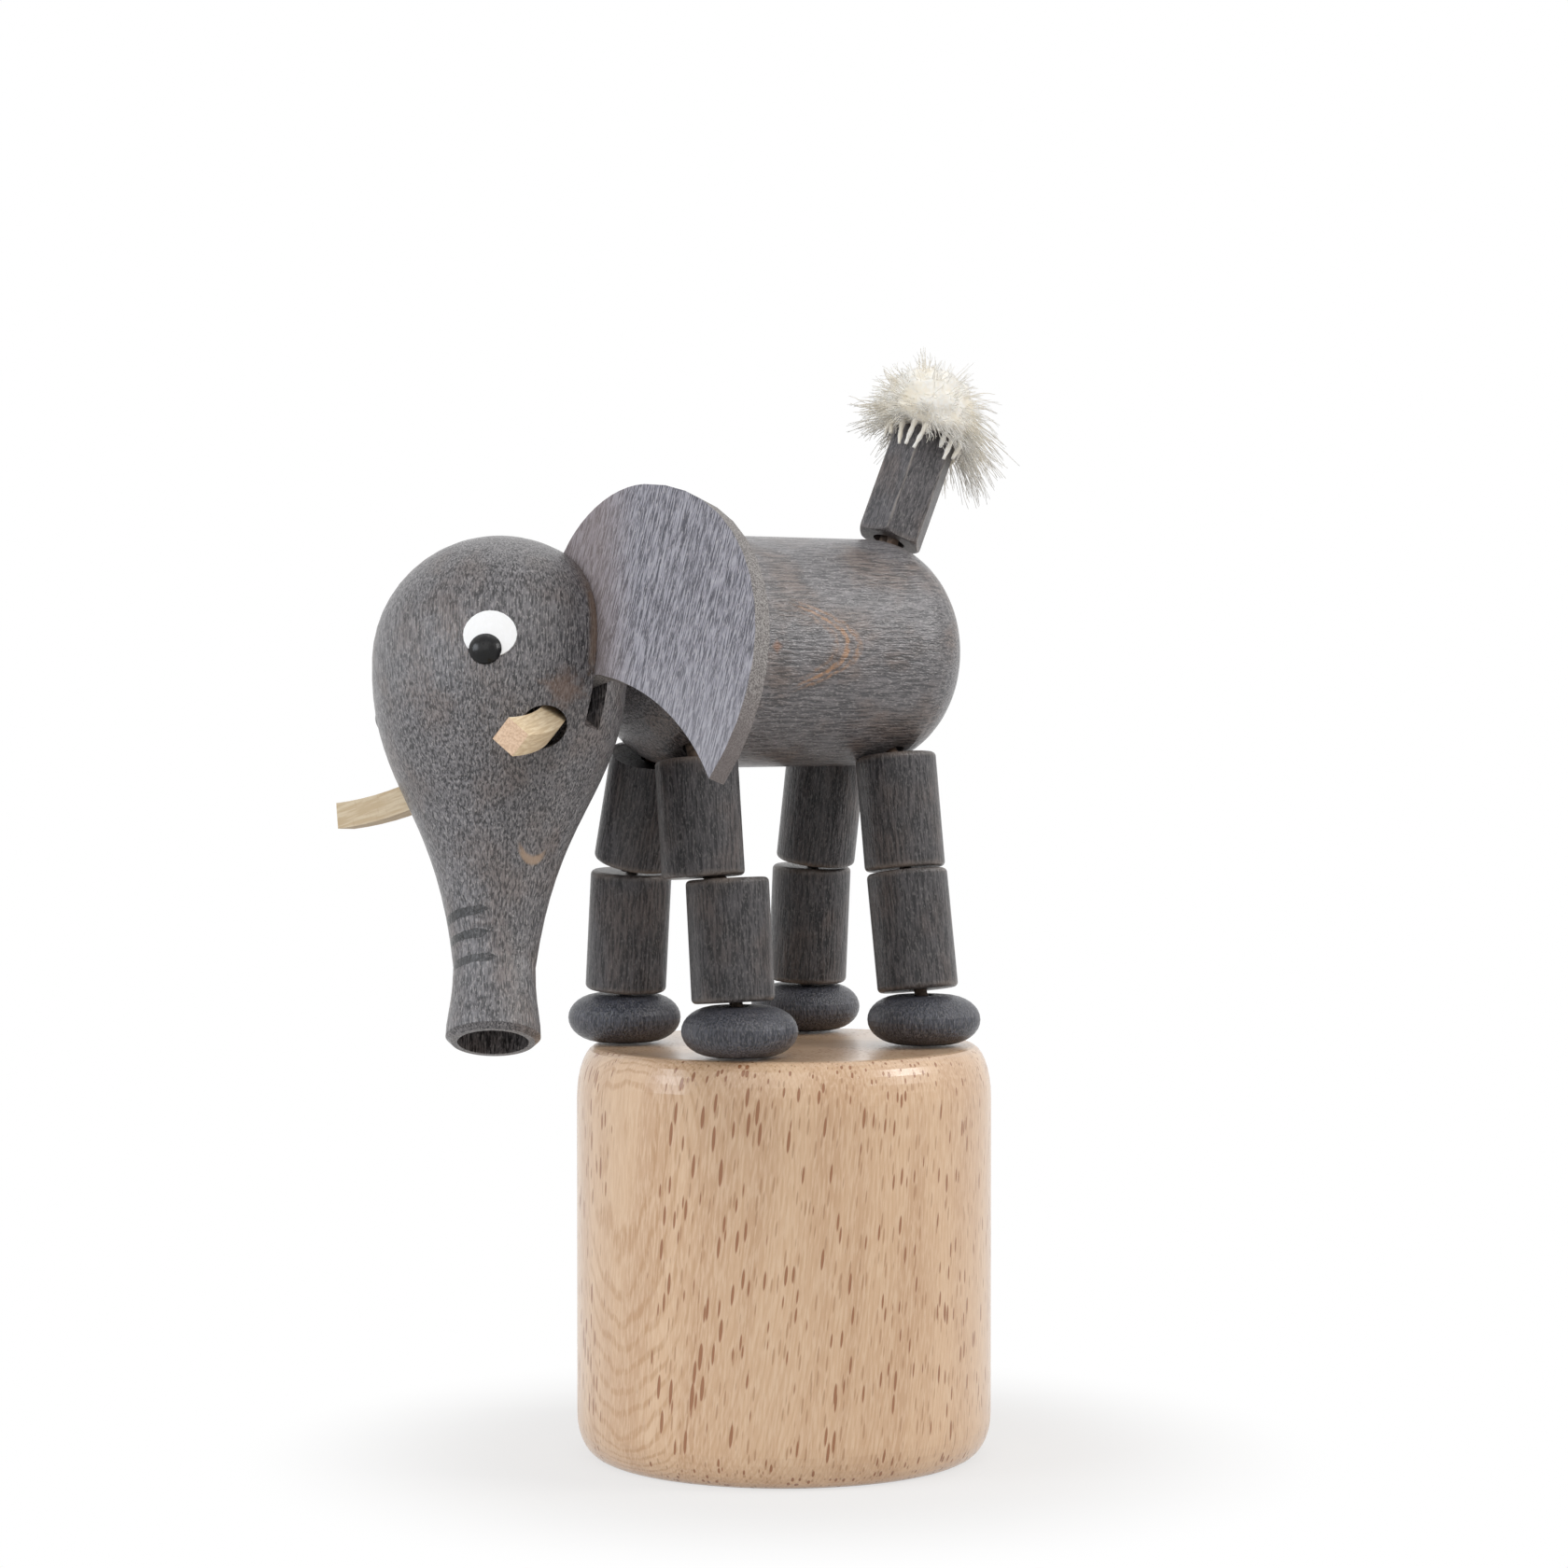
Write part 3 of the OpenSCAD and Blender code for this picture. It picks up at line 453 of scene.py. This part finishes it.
def ear_wood(name, node, seed):
    """Ear plates: a thinner, bluer stain with long streaks, pink at the head, lighter low down as painted
    light, and pale on the sawn edge, which painted shade darkens low down.
    """
    g = Graph(bpy.data.materials.new(name))
    plate = axes(node)[0]
    grain = (UP - plate * UP.dot(plate)).normalized()
    where = g.local(middle(node), turn_to(grain))
    streak = g.streaks(where, 7.2, 0.6, 4.0, seed)
    fine = g.streaks(where, 9.0, 2.0, 2.0, seed + 1)
    bands = g.streaks(where, 0.7, 0.06, 2.0, seed + 2)
    colour = g.mix(g.ramp(streak, 0.4, 0.6), EAR_DARK, EAR_LIGHT)
    colour = g.mix(g.ramp(bands, 0.5, 0.75, 0.0, 0.3), colour, EAR_BAND)
    colour = g.mix(g.ramp(fine, 0.52, 0.68, 0.0, 0.55), colour, EAR_FLECK)
    in_head = g.local(head_mid, head_turn)
    root = g.ramp(g.radius(in_head), 11.2, 17.0, 0.5, 0.0)
    colour = g.mix(root, colour, EAR_ROOT)
    _, _, up_plate = g.split(where)
    # Painted light: the faces get lighter towards the bottom of the plate.
    colour = g.mix(g.ramp(up_plate, -10.0, 0.0, 0.25, 0.0), colour, EAR_PAINTED_LIGHT)
    edge = g.ramp(g.facing(plate), 0.5, 0.75, 1.0, 0.0)
    speck = g.noise(where, 7.0, 3.0, seed + 3)
    sawn = g.mix(g.ramp(speck, 0.36, 0.64), SAWN_DARK, SAWN_LIGHT)
    # Painted shade: the sawn edge gets darker towards the bottom of the plate, where it faces down.
    sawn = g.mix(g.ramp(up_plate, -12.0, -1.0, 0.75, 0.0), sawn, SAWN_PAINTED_SHADE)
    colour = g.mix(edge, colour, sawn)
    height = g.plus(g.times(streak, 0.8), g.times(fine, 0.5))
    return g.surface(Base_Color=colour, Roughness=g.ramp(fine, 0.3, 0.7, 0.55, 0.72),
                     Specular_IOR_Level=0.25, Normal=g.bump(height, 0.07))


# Dark and light of the bare wood, out of 255
TUSK_TONES = ((218, 193, 155), (240, 221, 189))


def tusk_wood(name, node, seed, tone):
    """Bare pale wood: fine lines along the bar, browner end grain, small saw marks across it."""
    g = Graph(bpy.data.materials.new(name))
    way = axes(node)[2]
    where = g.local(middle(node), turn_to(way))
    grain = g.streaks(where, 4.5, 0.35, 3.0, seed)
    saw = g.streaks(where, 0.6, 4.5, 2.0, seed + 1)
    # tone scales the colours: above 1 it is painted light, below 1 painted shade.
    dark, light = (srgb(*(part * tone for part in parts)) for parts in TUSK_TONES)
    colour = g.mix(g.ramp(grain, 0.38, 0.64), dark, light)
    colour = g.mix(g.ramp(saw, 0.58, 0.74, 0.0, 0.3), colour, SAW_MARK)
    end = g.ramp(g.facing(way), 0.8, 0.95)
    pores = g.noise(where, 5.0, 3.0, seed + 2)
    end_grain = g.mix(g.ramp(pores, 0.38, 0.62), END_DARK, END_LIGHT)
    colour = g.mix(end, colour, end_grain)
    height = g.plus(grain, g.times(saw, 0.6))
    return g.surface(Base_Color=colour, Roughness=g.ramp(grain, 0.2, 0.8, 0.5, 0.68),
                     Normal=g.bump(height, 0.04))


# Cotton, paint, steel


def cotton(name, tones, seed, fuzz):
    """Cotton between two tones, with patches of a third; fuzz is the sheen of loose fibres."""
    g = Graph(bpy.data.materials.new(name))
    light, shade, patch = tones
    where = g.local()
    fibre = g.noise(where, 3.0, 3.0, seed)
    cloud = g.noise(where, 0.45, 1.0, seed + 1)
    colour = g.mix(g.ramp(fibre, 0.4, 0.6), shade, light)
    colour = g.mix(g.ramp(cloud, 0.45, 0.65, 0.0, 0.5), colour, patch)
    return g.surface(Base_Color=colour, Roughness=g.ramp(fibre, 0.3, 0.7, 0.8, 0.95), Sheen_Weight=fuzz,
                     Sheen_Roughness=0.5, Normal=g.bump(fibre, 0.06))


def paint(name, tones, seed, coat):
    """Brushed paint over turned wood, glossier with more clear coat."""
    g = Graph(bpy.data.materials.new(name))
    where = g.local()
    brush = g.streaks(where, 2.2, 1.1, 2.0, seed)
    tint = g.mix(g.ramp(brush, 0.3, 0.7), *tones)
    return g.surface(Base_Color=tint, Roughness=g.ramp(brush, 0.3, 0.7, 0.2, 0.32), Specular_IOR_Level=0.3,
                     Coat_Weight=coat, Coat_Roughness=0.08, Normal=g.bump(brush, 0.05))


def steel(name):
    """Drawn spring wire."""
    g = Graph(bpy.data.materials.new(name))
    where = g.local()
    draw = g.noise(where, 2.5, 3.0, 3.0)
    colour = g.mix(g.ramp(draw, 0.3, 0.7), STEEL_DARK, STEEL_LIGHT)
    return g.surface(Base_Color=colour, Metallic=1.0, Roughness=g.ramp(draw, 0.3, 0.7, 0.25, 0.42),
                     Normal=g.bump(draw, 0.02))


def dress(node, material):
    """Gives a node of the frame its material."""
    mesh = nodes[node].data
    mesh.materials.clear()
    mesh.materials.append(material)


# The drum's log: its tilt in degrees, and the height of its ovals in millimetres
DRUM_TILT = (-3.5, -4.9, 3.6)
OVALS_HEIGHT = 20.4
BUTTON_TILT = (0, 0, 70)
LONG_GRAIN = (4.4, 0.45)
# Turn that lays local Z along the body
ALONG_X = (0, 90, 0)


def in_radians(angles):
    return tuple(math.radians(angle) for angle in angles)


def dress_wood():
    """Materials of the nodes that show as they are, each with a seed and so a grain of its own."""
    dress("drum", beech("drum_beech", in_radians(DRUM_TILT), OVALS_HEIGHT, 1.0))
    dress("push_button", beech("button_beech", in_radians(BUTTON_TILT), 0.0, 9.0))
    for k, leg in enumerate(LEGS):
        foot, lower, upper = "foot_" + leg, "lower_leg_" + leg, "upper_leg_" + leg
        dress(foot, grey_wood(foot + "_stain", middle(foot), (0, 0, k), 10.0 + k,
                              tone=0.8, warm=0.05, contrast=0.5, blue=0.9, coat=0.6))
        for bead, seed in ((lower, 20.0 + 3 * k), (upper, 40.0 + 3 * k)):
            low, high = bead_ends(bead, bead.replace("leg", "cord"))
            dress(bead, grey_wood(bead + "_stain", (low + high) / 2, turn_to(high - low), seed,
                                  tone=0.67, warm=0.25, contrast=0.68, grain=LONG_GRAIN, coat=0.6,
                                  length=(high - low).length / MM))
    dress("body", grey_wood("body_stain", body_mid, in_radians(ALONG_X), 60.0, tone=1.2, warm=0.55,
                            contrast=0.34, grain=(4.4, 0.5), coat=0.7, marks=body_marks))
    dress("head", grey_wood("head_stain", head_mid, head_turn, 70.0, tone=0.98, warm=0.35,
                            contrast=0.72, coat=0.75, marks=head_marks))
    dress("tail", grey_wood("tail_stain", (tail_foot + tail_head) / 2, turn_to(tail_way), 80.0, tone=0.98,
                            warm=0.3, contrast=0.35, length=(tail_head - tail_foot).length / MM,
                            corner=TAIL_CORNER_MM))
    # The tusks share one wood: painted light makes the left tusk lighter (1.06), painted shade makes the
    # right tusk darker (0.9).
    for k, (side, tusk_painted_light_and_shade) in enumerate((("left", 1.06), ("right", 0.9))):
        ear, tusk = "ear_" + side, "tusk_" + side
        dress(ear, ear_wood("ear_stain_" + side, ear, 90.0 + 5 * k))
        dress(tusk, tusk_wood("tusk_wood_" + side, tusk, 100.0 + 5 * k, tusk_painted_light_and_shade))
        dress("eye_white_" + side, paint("eye_paint_" + side, EYE_PAINT, 110.0 + k, 0.4))
        dress("pupil_" + side, paint("pupil_paint_" + side, PUPIL_PAINT, 113.0 + k, 0.0))


# Cords, knots, spring and tuft


def make_mesh(name, points, faces, material, smooth=True):
    mesh = bpy.data.meshes.new(name)
    mesh.from_pydata(points, [], faces)
    mesh.materials.append(material)
    mesh.polygons.foreach_set("use_smooth", [smooth] * len(mesh.polygons))
    piece = bpy.data.objects.new(name, mesh)
    bpy.context.scene.collection.objects.link(piece)
    return piece


def spaced(path, step):
    """The same path with its corners eased and points about a step apart."""
    for _ in range(2):
        eased = [path[0]]
        for a, b in zip(path, path[1:]):
            eased += [a.lerp(b, 0.25), a.lerp(b, 0.75)]
        path = eased + [path[-1]]
    points = []
    for a, b in zip(path, path[1:]):
        count = max(1, round((b - a).length / step))
        points += [a.lerp(b, k / count) for k in range(count)]
    return points + [path[-1]]


def add_tube(points, faces, path, radius_at, sides):
    """Adds one closed tube to a mesh's points and faces.

    radius_at takes the ring's number, the angle round it and the share of the length."""
    base = len(points)
    across = None
    for k, place in enumerate(path):
        way = (path[min(k + 1, len(path) - 1)] - path[max(k - 1, 0)]).normalized()
        if across is None:
            across = way.orthogonal().normalized()
        across = (across - way * across.dot(way)).normalized()
        other = way.cross(across)
        for j in range(sides):
            turn = 2 * math.pi * j / sides
            radius = radius_at(k, turn, k / (len(path) - 1))
            points.append(place + radius * (math.cos(turn) * across + math.sin(turn) * other))
    for k in range(len(path) - 1):
        for j in range(sides):
            m = (j + 1) % sides
            ring, after = base + k * sides, base + (k + 1) * sides
            faces.append((ring + j, ring + m, after + m, after + j))
    faces.append(tuple(base + j for j in reversed(range(sides))))
    faces.append(tuple(base + (len(path) - 1) * sides + j for j in range(sides)))


CORD_STEP = 0.25 * MM
CORD_LAY = 2.4 * MM
CORD_SIDES = 15
CORD_PLIES = 3
CORD_GROOVE = 0.16


def ply_radius(ring, turn, share):
    """Section of a three-ply cord, turned along its length."""
    twist = 2 * math.pi * ring * CORD_STEP / CORD_LAY
    crest = abs(math.cos(CORD_PLIES / 2 * (turn - twist)))
    return CORD_D / 2 * (1 - CORD_GROOVE + CORD_GROOVE * crest)


def cords(name, routes, material):
    points, faces = [], []
    for route in routes:
        add_tube(points, faces, spaced(route, CORD_STEP), ply_radius, CORD_SIDES)
    piece = make_mesh(name, points, faces, material)
    return piece


def make_cords(material):
    """Each cord in lengths that cross one joint each, from bead to bead."""
    hubs = {}
    for leg in LEGS:
        foot_low, foot_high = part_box("foot_" + leg)
        foot = middle("foot_" + leg)
        foot_bottom = Vector((foot.x, foot.y, foot_low.z))
        foot_top = Vector((foot.x, foot.y, foot_high.z))
        lower_low, lower_high = bead_ends("lower_cord_" + leg, "lower_cord_" + leg)
        upper_low, upper_high = bead_ends("upper_cord_" + leg, "upper_cord_" + leg)
        lower_mid = (lower_low + lower_high) / 2
        upper_mid = (upper_low + upper_high) / 2
        side = PAIR_HALF if leg.endswith("left") else -PAIR_HALF
        hub_x = upper_high.x
        if leg.startswith("rear"):
            hub_x = tail_foot.x - tail_way.x / tail_way.z * (tail_foot.z - body_mid.z)
        hub = Vector((hub_x, body_mid.y + side, body_mid.z))
        hubs[leg] = hub
        ankle = cords("ankle_cord_" + leg, [[foot_bottom, foot_top, lower_low, lower_mid]], material)
        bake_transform(ankle)
        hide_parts("foot_cord_" + leg)
        knee = cords("knee_cord_" + leg, [[lower_mid, lower_high, upper_low, upper_mid]], material)
        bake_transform(knee)
        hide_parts("lower_cord_" + leg)
        into = upper_high.lerp(hub, 0.25)
        hip = cords("hip_cord_" + leg, [[upper_mid, upper_high, into, hub]], material)
        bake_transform(hip)
        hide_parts("upper_cord_" + leg)
    neck_start, neck_end = (corner.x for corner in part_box("neck_cord"))
    routes = [[hubs[leg], Vector((neck_start, hubs[leg].y, body_mid.z)),
               Vector((neck_end, hubs[leg].y, body_mid.z))] for leg in LEGS[:2]]
    neck = cords("neck_cords", routes, material)
    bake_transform(neck)
    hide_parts("front_cords", "neck_cord")
    routes = []
    for leg in LEGS[2:]:
        aside = Vector((0, hubs[leg].y - tail_foot.y, 0))
        routes.append([hubs[leg], tail_foot + aside, tail_head + aside])
    tail = cords("tail_cords", routes, material)
    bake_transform(tail)
    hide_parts("rear_cords", "tail_cord")


def button_hole(leg):
    """A hole in the button, on the line from the drum's axis to the leg's foot."""
    foot = middle("foot_" + leg)
    return Vector((foot.x, foot.y, 0)).normalized() * BUTTON_HOLE_R


SPRING_STEPS = 40
SPRING_SIDES = 12
KNOT_STEPS = 48
# A trefoil curve of unit scale reaches this far from its middle
TREFOIL_REACH = 3


def make_drum_inside(cord_material, wire_material):
    """Cords, knots and spring inside the drum: the cords and spring go with the base, the knots with the
    button.
    """
    cord_low, cord_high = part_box("drum_cords")
    spring_low, spring_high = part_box("return_spring")
    routes = []
    for leg in LEGS:
        foot, hole = middle("foot_" + leg), button_hole(leg)
        routes.append([Vector((foot.x, foot.y, cord_high.z)), Vector((foot.x, foot.y, spring_high.z)),
                       hole + UP * spring_low.z, hole + UP * cord_low.z])
    drum_cords = cords("drum_cotton", routes, cord_material)
    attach(drum_cords, "base")
    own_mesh(drum_cords)
    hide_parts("drum_cords")
    spring = make_spring(spring_low.z + WIRE_D / 2, spring_high.z - WIRE_D / 2, wire_material)
    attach(spring, "base")
    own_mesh(spring)
    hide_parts("return_spring")
    knots = make_knots(cord_material)
    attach(knots, "push_button")
    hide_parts("cord_knots")


def make_spring(low, high, material):
    steps = SPRING_TURNS * SPRING_STEPS
    coil = []
    for k in range(steps + 1):
        turn = 2 * math.pi * k / SPRING_STEPS
        coil.append(Vector((SPRING_D / 2 * math.cos(turn), SPRING_D / 2 * math.sin(turn),
                            low + (high - low) * k / steps)))
    points, faces = [], []
    add_tube(points, faces, coil, lambda ring, turn, share: WIRE_D / 2, SPRING_SIDES)
    return make_mesh("spring_wire", points, faces, material)


def make_knots(material):
    """A trefoil knot under each hole of the button."""
    low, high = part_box("cord_knots")
    scale = (high.z - low.z - CORD_D) / 2 / TREFOIL_REACH
    points, faces = [], []
    for leg in LEGS:
        centre = button_hole(leg) + UP * (low.z + high.z) / 2
        loop = []
        for k in range(KNOT_STEPS + 1):
            turn = 2 * math.pi * k / KNOT_STEPS
            loop.append(centre + scale * Vector((math.sin(turn) + 2 * math.sin(2 * turn),
                                                 math.cos(turn) - 2 * math.cos(2 * turn),
                                                 -2 * math.sin(3 * turn))))
        add_tube(points, faces, loop, ply_radius, CORD_SIDES)
    return make_mesh("knots_cotton", points, faces, material)


# Tuft: a dense dome of frayed cotton on the tail's top, with wisps of fibres that stand out of it
TUFT_SEED = 7
GOLDEN_TURN = math.pi * (3 - math.sqrt(5))
WISPS = 220
WISP_TILT = math.radians(108)
WISP_JITTER = 0.3
# Share of the dome's radius at which fibres start
WISP_ROOT = 0.5
# Millimetres by which wisps are longer behind and in front
LONGER_BEHIND = 0.4
LONGER_IN_FRONT = 0.5
# Millimetres by which a wisp's end sinks: any wisp, more at the sides, more behind
DROOP = 0.1
DROOP_SIDES = 1.2
DROOP_BEHIND = 1.8
CURL_MM = (0.15, 0.6)
FIBRES = 8
FIBRE_OUT = (0.5 * MM, 3.2 * MM)
FIBRE_R = 0.06 * MM
FIBRE_TAPER = 0.6
FIBRE_SPREAD = 0.2 * MM
FIBRE_SHARE = (0.7, 1.06)
FIBRE_BENDS = (4, 8)
FIBRE_RINGS = 9
FIBRE_SIDES = 3
DOME_LIFT = 1.3 * MM
DOME_R = 5.2 * MM
DOME_FORWARD = 0.6 * MM
# Tilt of the dome's first ring from the tail's axis, and how far its rings go down, in degrees
DOME_TILT = 4
DOME_SPAN = 102
DOME_RINGS = 22
DOME_SIDES = 48
PLY_ENDS = 17
PLY_R = 0.36 * MM
PLY_STEP = 0.25 * MM
PLY_HANG_MM = (1.1, 2.9)
PLY_LEAN_MM = 0.8
PLY_JITTER = 0.35
PLY_SIDES = 8


def make_tuft(material):
    rng = random.Random(TUFT_SEED)
    dome_mid = tail_head + DOME_LIFT * tail_way - DOME_FORWARD * tail_back
    points, faces = [], []
    for n in range(WISPS):
        add_wisp(points, faces, rng, dome_mid, n)
    add_dome(points, faces, dome_mid)
    add_ply_ends(points, faces, rng)
    tuft = make_mesh("tuft_cotton", points, faces, material)
    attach(tuft, "tail")
    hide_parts("tail_tuft")


def round_tail(turn):
    """A direction square to the tail: rearward at turn 0, and on round it."""
    return math.cos(turn) * tail_back + math.sin(turn) * tail_side


def add_wisp(points, faces, rng, dome_mid, number):
    """Fibres that leave the dome together, droop and curl; they are longer in front and behind."""
    tilt = WISP_TILT * math.sqrt((number + 0.5) / WISPS)
    turn = GOLDEN_TURN * number + rng.uniform(-WISP_JITTER, WISP_JITTER)
    way = math.cos(tilt) * tail_way + math.sin(tilt) * round_tail(turn)
    behind = max(0.0, math.cos(turn)) * math.sin(tilt)
    in_front = max(0.0, -math.cos(turn)) * math.sin(tilt)
    out = FIBRE_OUT[0] + (FIBRE_OUT[1] - FIBRE_OUT[0]) * rng.random() ** 2
    length = (1 - WISP_ROOT) * DOME_R + out + (LONGER_BEHIND * behind + LONGER_IN_FRONT * in_front) * MM
    droop = (DROOP + DROOP_SIDES * math.sin(tilt) + DROOP_BEHIND * behind) * MM
    curl = rng.uniform(*CURL_MM) * MM
    root = dome_mid + WISP_ROOT * DOME_R * way
    for _ in range(FIBRES):
        aside = Vector((rng.gauss(0, 1), rng.gauss(0, 1), rng.gauss(0, 1)))
        own = length * rng.uniform(*FIBRE_SHARE)
        phase = rng.uniform(0, 2 * math.pi)
        bends = rng.uniform(*FIBRE_BENDS)
        sway = aside.cross(way).normalized() * curl
        path = []
        for k in range(FIBRE_RINGS):
            t = k / (FIBRE_RINGS - 1)
            wave = sway * math.sin(phase + bends * t) * t
            place = root + way * own * t - UP * droop * t * t
            path.append(place + aside * FIBRE_SPREAD * (1 + t) + wave)
        add_tube(points, faces, path, lambda ring, around, along: FIBRE_R * (1 - FIBRE_TAPER * along),
                 FIBRE_SIDES)


def add_dome(points, faces, dome_mid):
    """The dense, lumpy middle of the tuft, from which the fibres come."""
    base = len(points)
    for r in range(DOME_RINGS + 1):
        down = r / DOME_RINGS
        tilt = math.radians(DOME_TILT + DOME_SPAN * down)
        for k in range(DOME_SIDES):
            turn = 2 * math.pi * k / DOME_SIDES
            lump = 1 + 0.04 * math.sin(5 * turn + 1.1 * r) + 0.03 * math.sin(9 * turn - 0.9 * r)
            lump += 0.02 * math.sin(23 * turn + 0.6 * r) - 0.16 * down ** 3
            way = math.cos(tilt) * tail_way + math.sin(tilt) * round_tail(turn)
            points.append(dome_mid + way * DOME_R * lump)
    for r in range(DOME_RINGS):
        for k in range(DOME_SIDES):
            m = (k + 1) % DOME_SIDES
            a, b = base + r * DOME_SIDES, base + (r + 1) * DOME_SIDES
            faces.append((a + k, b + k, b + m, a + m))
    faces.append(tuple(base + k for k in range(DOME_SIDES)))
    faces.append(tuple(base + DOME_RINGS * DOME_SIDES + k for k in reversed(range(DOME_SIDES))))


def ply_end_radius(ring, around, along):
    """Section of a frayed ply, which narrows to its end."""
    return PLY_R * (1 - 0.5 * along ** 3) * (0.85 + 0.15 * math.cos(2 * around + 1.2 * ring))


def add_ply_ends(points, faces, rng):
    """Short frayed ends of whole plies that hang over the tail's top edge."""
    corners = np.array([vertex.co for vertex in nodes["tail"].data.vertices]) - np.array(tail_head)
    for n in range(PLY_ENDS):
        turn = 2 * math.pi * (n + rng.uniform(-PLY_JITTER, PLY_JITTER)) / PLY_ENDS
        flat = round_tail(turn)
        rim = float((corners @ np.array(flat)).max())
        hang = rng.uniform(*PLY_HANG_MM) * MM
        lean = flat.cross(tail_way) * rng.uniform(-PLY_LEAN_MM, PLY_LEAN_MM) * MM
        over = tail_head + flat * (rim + PLY_R)
        path = spaced([tail_head + flat * 1.2 * MM + tail_way * MM, over + tail_way * 0.9 * MM,
                       over + flat * 0.3 * MM - tail_way * 0.3 * MM,
                       over + flat * 0.25 * MM + lean - tail_way * hang], PLY_STEP)
        add_tube(points, faces, path, ply_end_radius, PLY_SIDES)


# Stage: floor, background, light and camera


FLOOR_HALF = 6.0


def make_floor():
    near, far = -FLOOR_HALF, FLOOR_HALF
    floor = make_mesh("floor", [(near, near, 0), (far, near, 0), (far, far, 0), (near, far, 0)],
                      [(0, 1, 2, 3)], white_floor(), smooth=False)


def seen_directly(g):
    """1 for rays from the camera, mirrors and glass, 0 for light that falls on the object."""
    path = g.tree.nodes.new("ShaderNodeLightPath")
    mirrored = g.math("MAXIMUM", path.outputs["Is Glossy Ray"], path.outputs["Is Transmission Ray"])
    return g.math("MAXIMUM", path.outputs["Is Camera Ray"], mirrored)


FLOOR_WHITE_SHARE = 0.68
# Reach of the shadow on the floor, from the drum's axis, in millimetres
FLOOR_SHADOW = (24, 54)


def white_floor():
    """A pale floor that shows as white and keeps a faint shadow."""
    g = Graph(bpy.data.materials.new("floor_white"))
    g.surface(Base_Color=FLOOR_GREY, Roughness=0.9)
    glow = g.add("Emission", {"Color": (1, 1, 1, 1), "Strength": 1.0})
    far = g.add("VectorMath", {0: g.local()}, "Value", operation="LENGTH")
    share = g.times(seen_directly(g), g.ramp(far, *FLOOR_SHADOW, FLOOR_WHITE_SHARE, 1.0))
    mixed = g.add("MixShader", {0: share, 1: g.shader.outputs[0], 2: glow})
    g.tree.links.new(mixed, g.tree.nodes["Material Output"].inputs["Surface"])
    return g.owner


WORLD_LIGHT = 0.42


def make_world():
    """Even light from all round, which shows as white where it is seen directly."""
    world = bpy.data.worlds.new("studio")
    bpy.context.scene.world = world
    g = Graph(world)
    background = g.tree.nodes["Background"]
    g.put(background.inputs["Strength"], g.ramp(seen_directly(g), 0.0, 1.0, WORLD_LIGHT, 1.0))
    g.put(background.inputs["Color"], (1, 1, 1, 1))


# Lamps: name, degrees to the right of the camera and above level, side in metres, watts and colour
LAMPS = (
    ("left_box", -64, 24, 0.28, 1.45, (0.88, 0.93, 1.0)),
    ("right_box", 81, 32, 0.22, 1.5, (1.0, 0.99, 0.98)),
    ("front_box", -8, 40, 0.5, 0.78, (1.0, 1.0, 1.0)),
    ("rim_box", 165, 55, 0.4, 0.35, (1.0, 1.0, 1.0)),
)
LAMP_DISTANCE = 0.6
LAMP_TARGET = Vector((0.005, 0, 0.065))


def softbox(name, turn, height, side, watts, colour):
    """A square soft light that faces the object."""
    heading = math.radians(CAMERA_SIDE - turn)
    lift = math.radians(height)
    level = math.cos(lift)
    way = Vector((math.sin(heading) * level, math.cos(heading) * level, math.sin(lift)))
    lamp = bpy.data.lights.new(name, "AREA")
    lamp.size = side
    lamp.energy = watts
    lamp.color = colour
    light = bpy.data.objects.new(name, lamp)
    light.location = LAMP_TARGET + way * LAMP_DISTANCE
    light.rotation_euler = turn_to(way)
    bpy.context.scene.collection.objects.link(light)


def make_camera():
    lens = bpy.data.cameras.new("camera")
    lens.sensor_width = SENSOR_MM
    lens.lens = SENSOR_MM * FOCAL_PX / IMAGE_PX
    lens.clip_start = CLIP_START
    camera = bpy.data.objects.new("camera", lens)
    heading = math.radians(CAMERA_SIDE)
    camera.location = (CAMERA_DISTANCE * math.sin(heading), CAMERA_DISTANCE * math.cos(heading),
                       CAMERA_HEIGHT)
    dip = math.atan((IMAGE_PX / 2 - HORIZON_PX) / FOCAL_PX)
    camera.rotation_euler = (math.pi / 2 - dip, 0, math.pi - heading)
    bpy.context.scene.collection.objects.link(camera)
    bpy.context.scene.camera = camera


make_camera()
dress_wood()
cord_cotton = cotton("cord_cotton", CORD_COTTON, 120.0, 0.2)
make_cords(cord_cotton)
make_drum_inside(cord_cotton, steel("spring_steel_wire"))
make_tuft(cotton("tuft_cotton_fibre", TUFT_COTTON, 124.0, 1.0))
make_floor()
make_world()
for row in LAMPS:
    softbox(*row)
bpy.context.scene.view_settings.view_transform = "Standard"
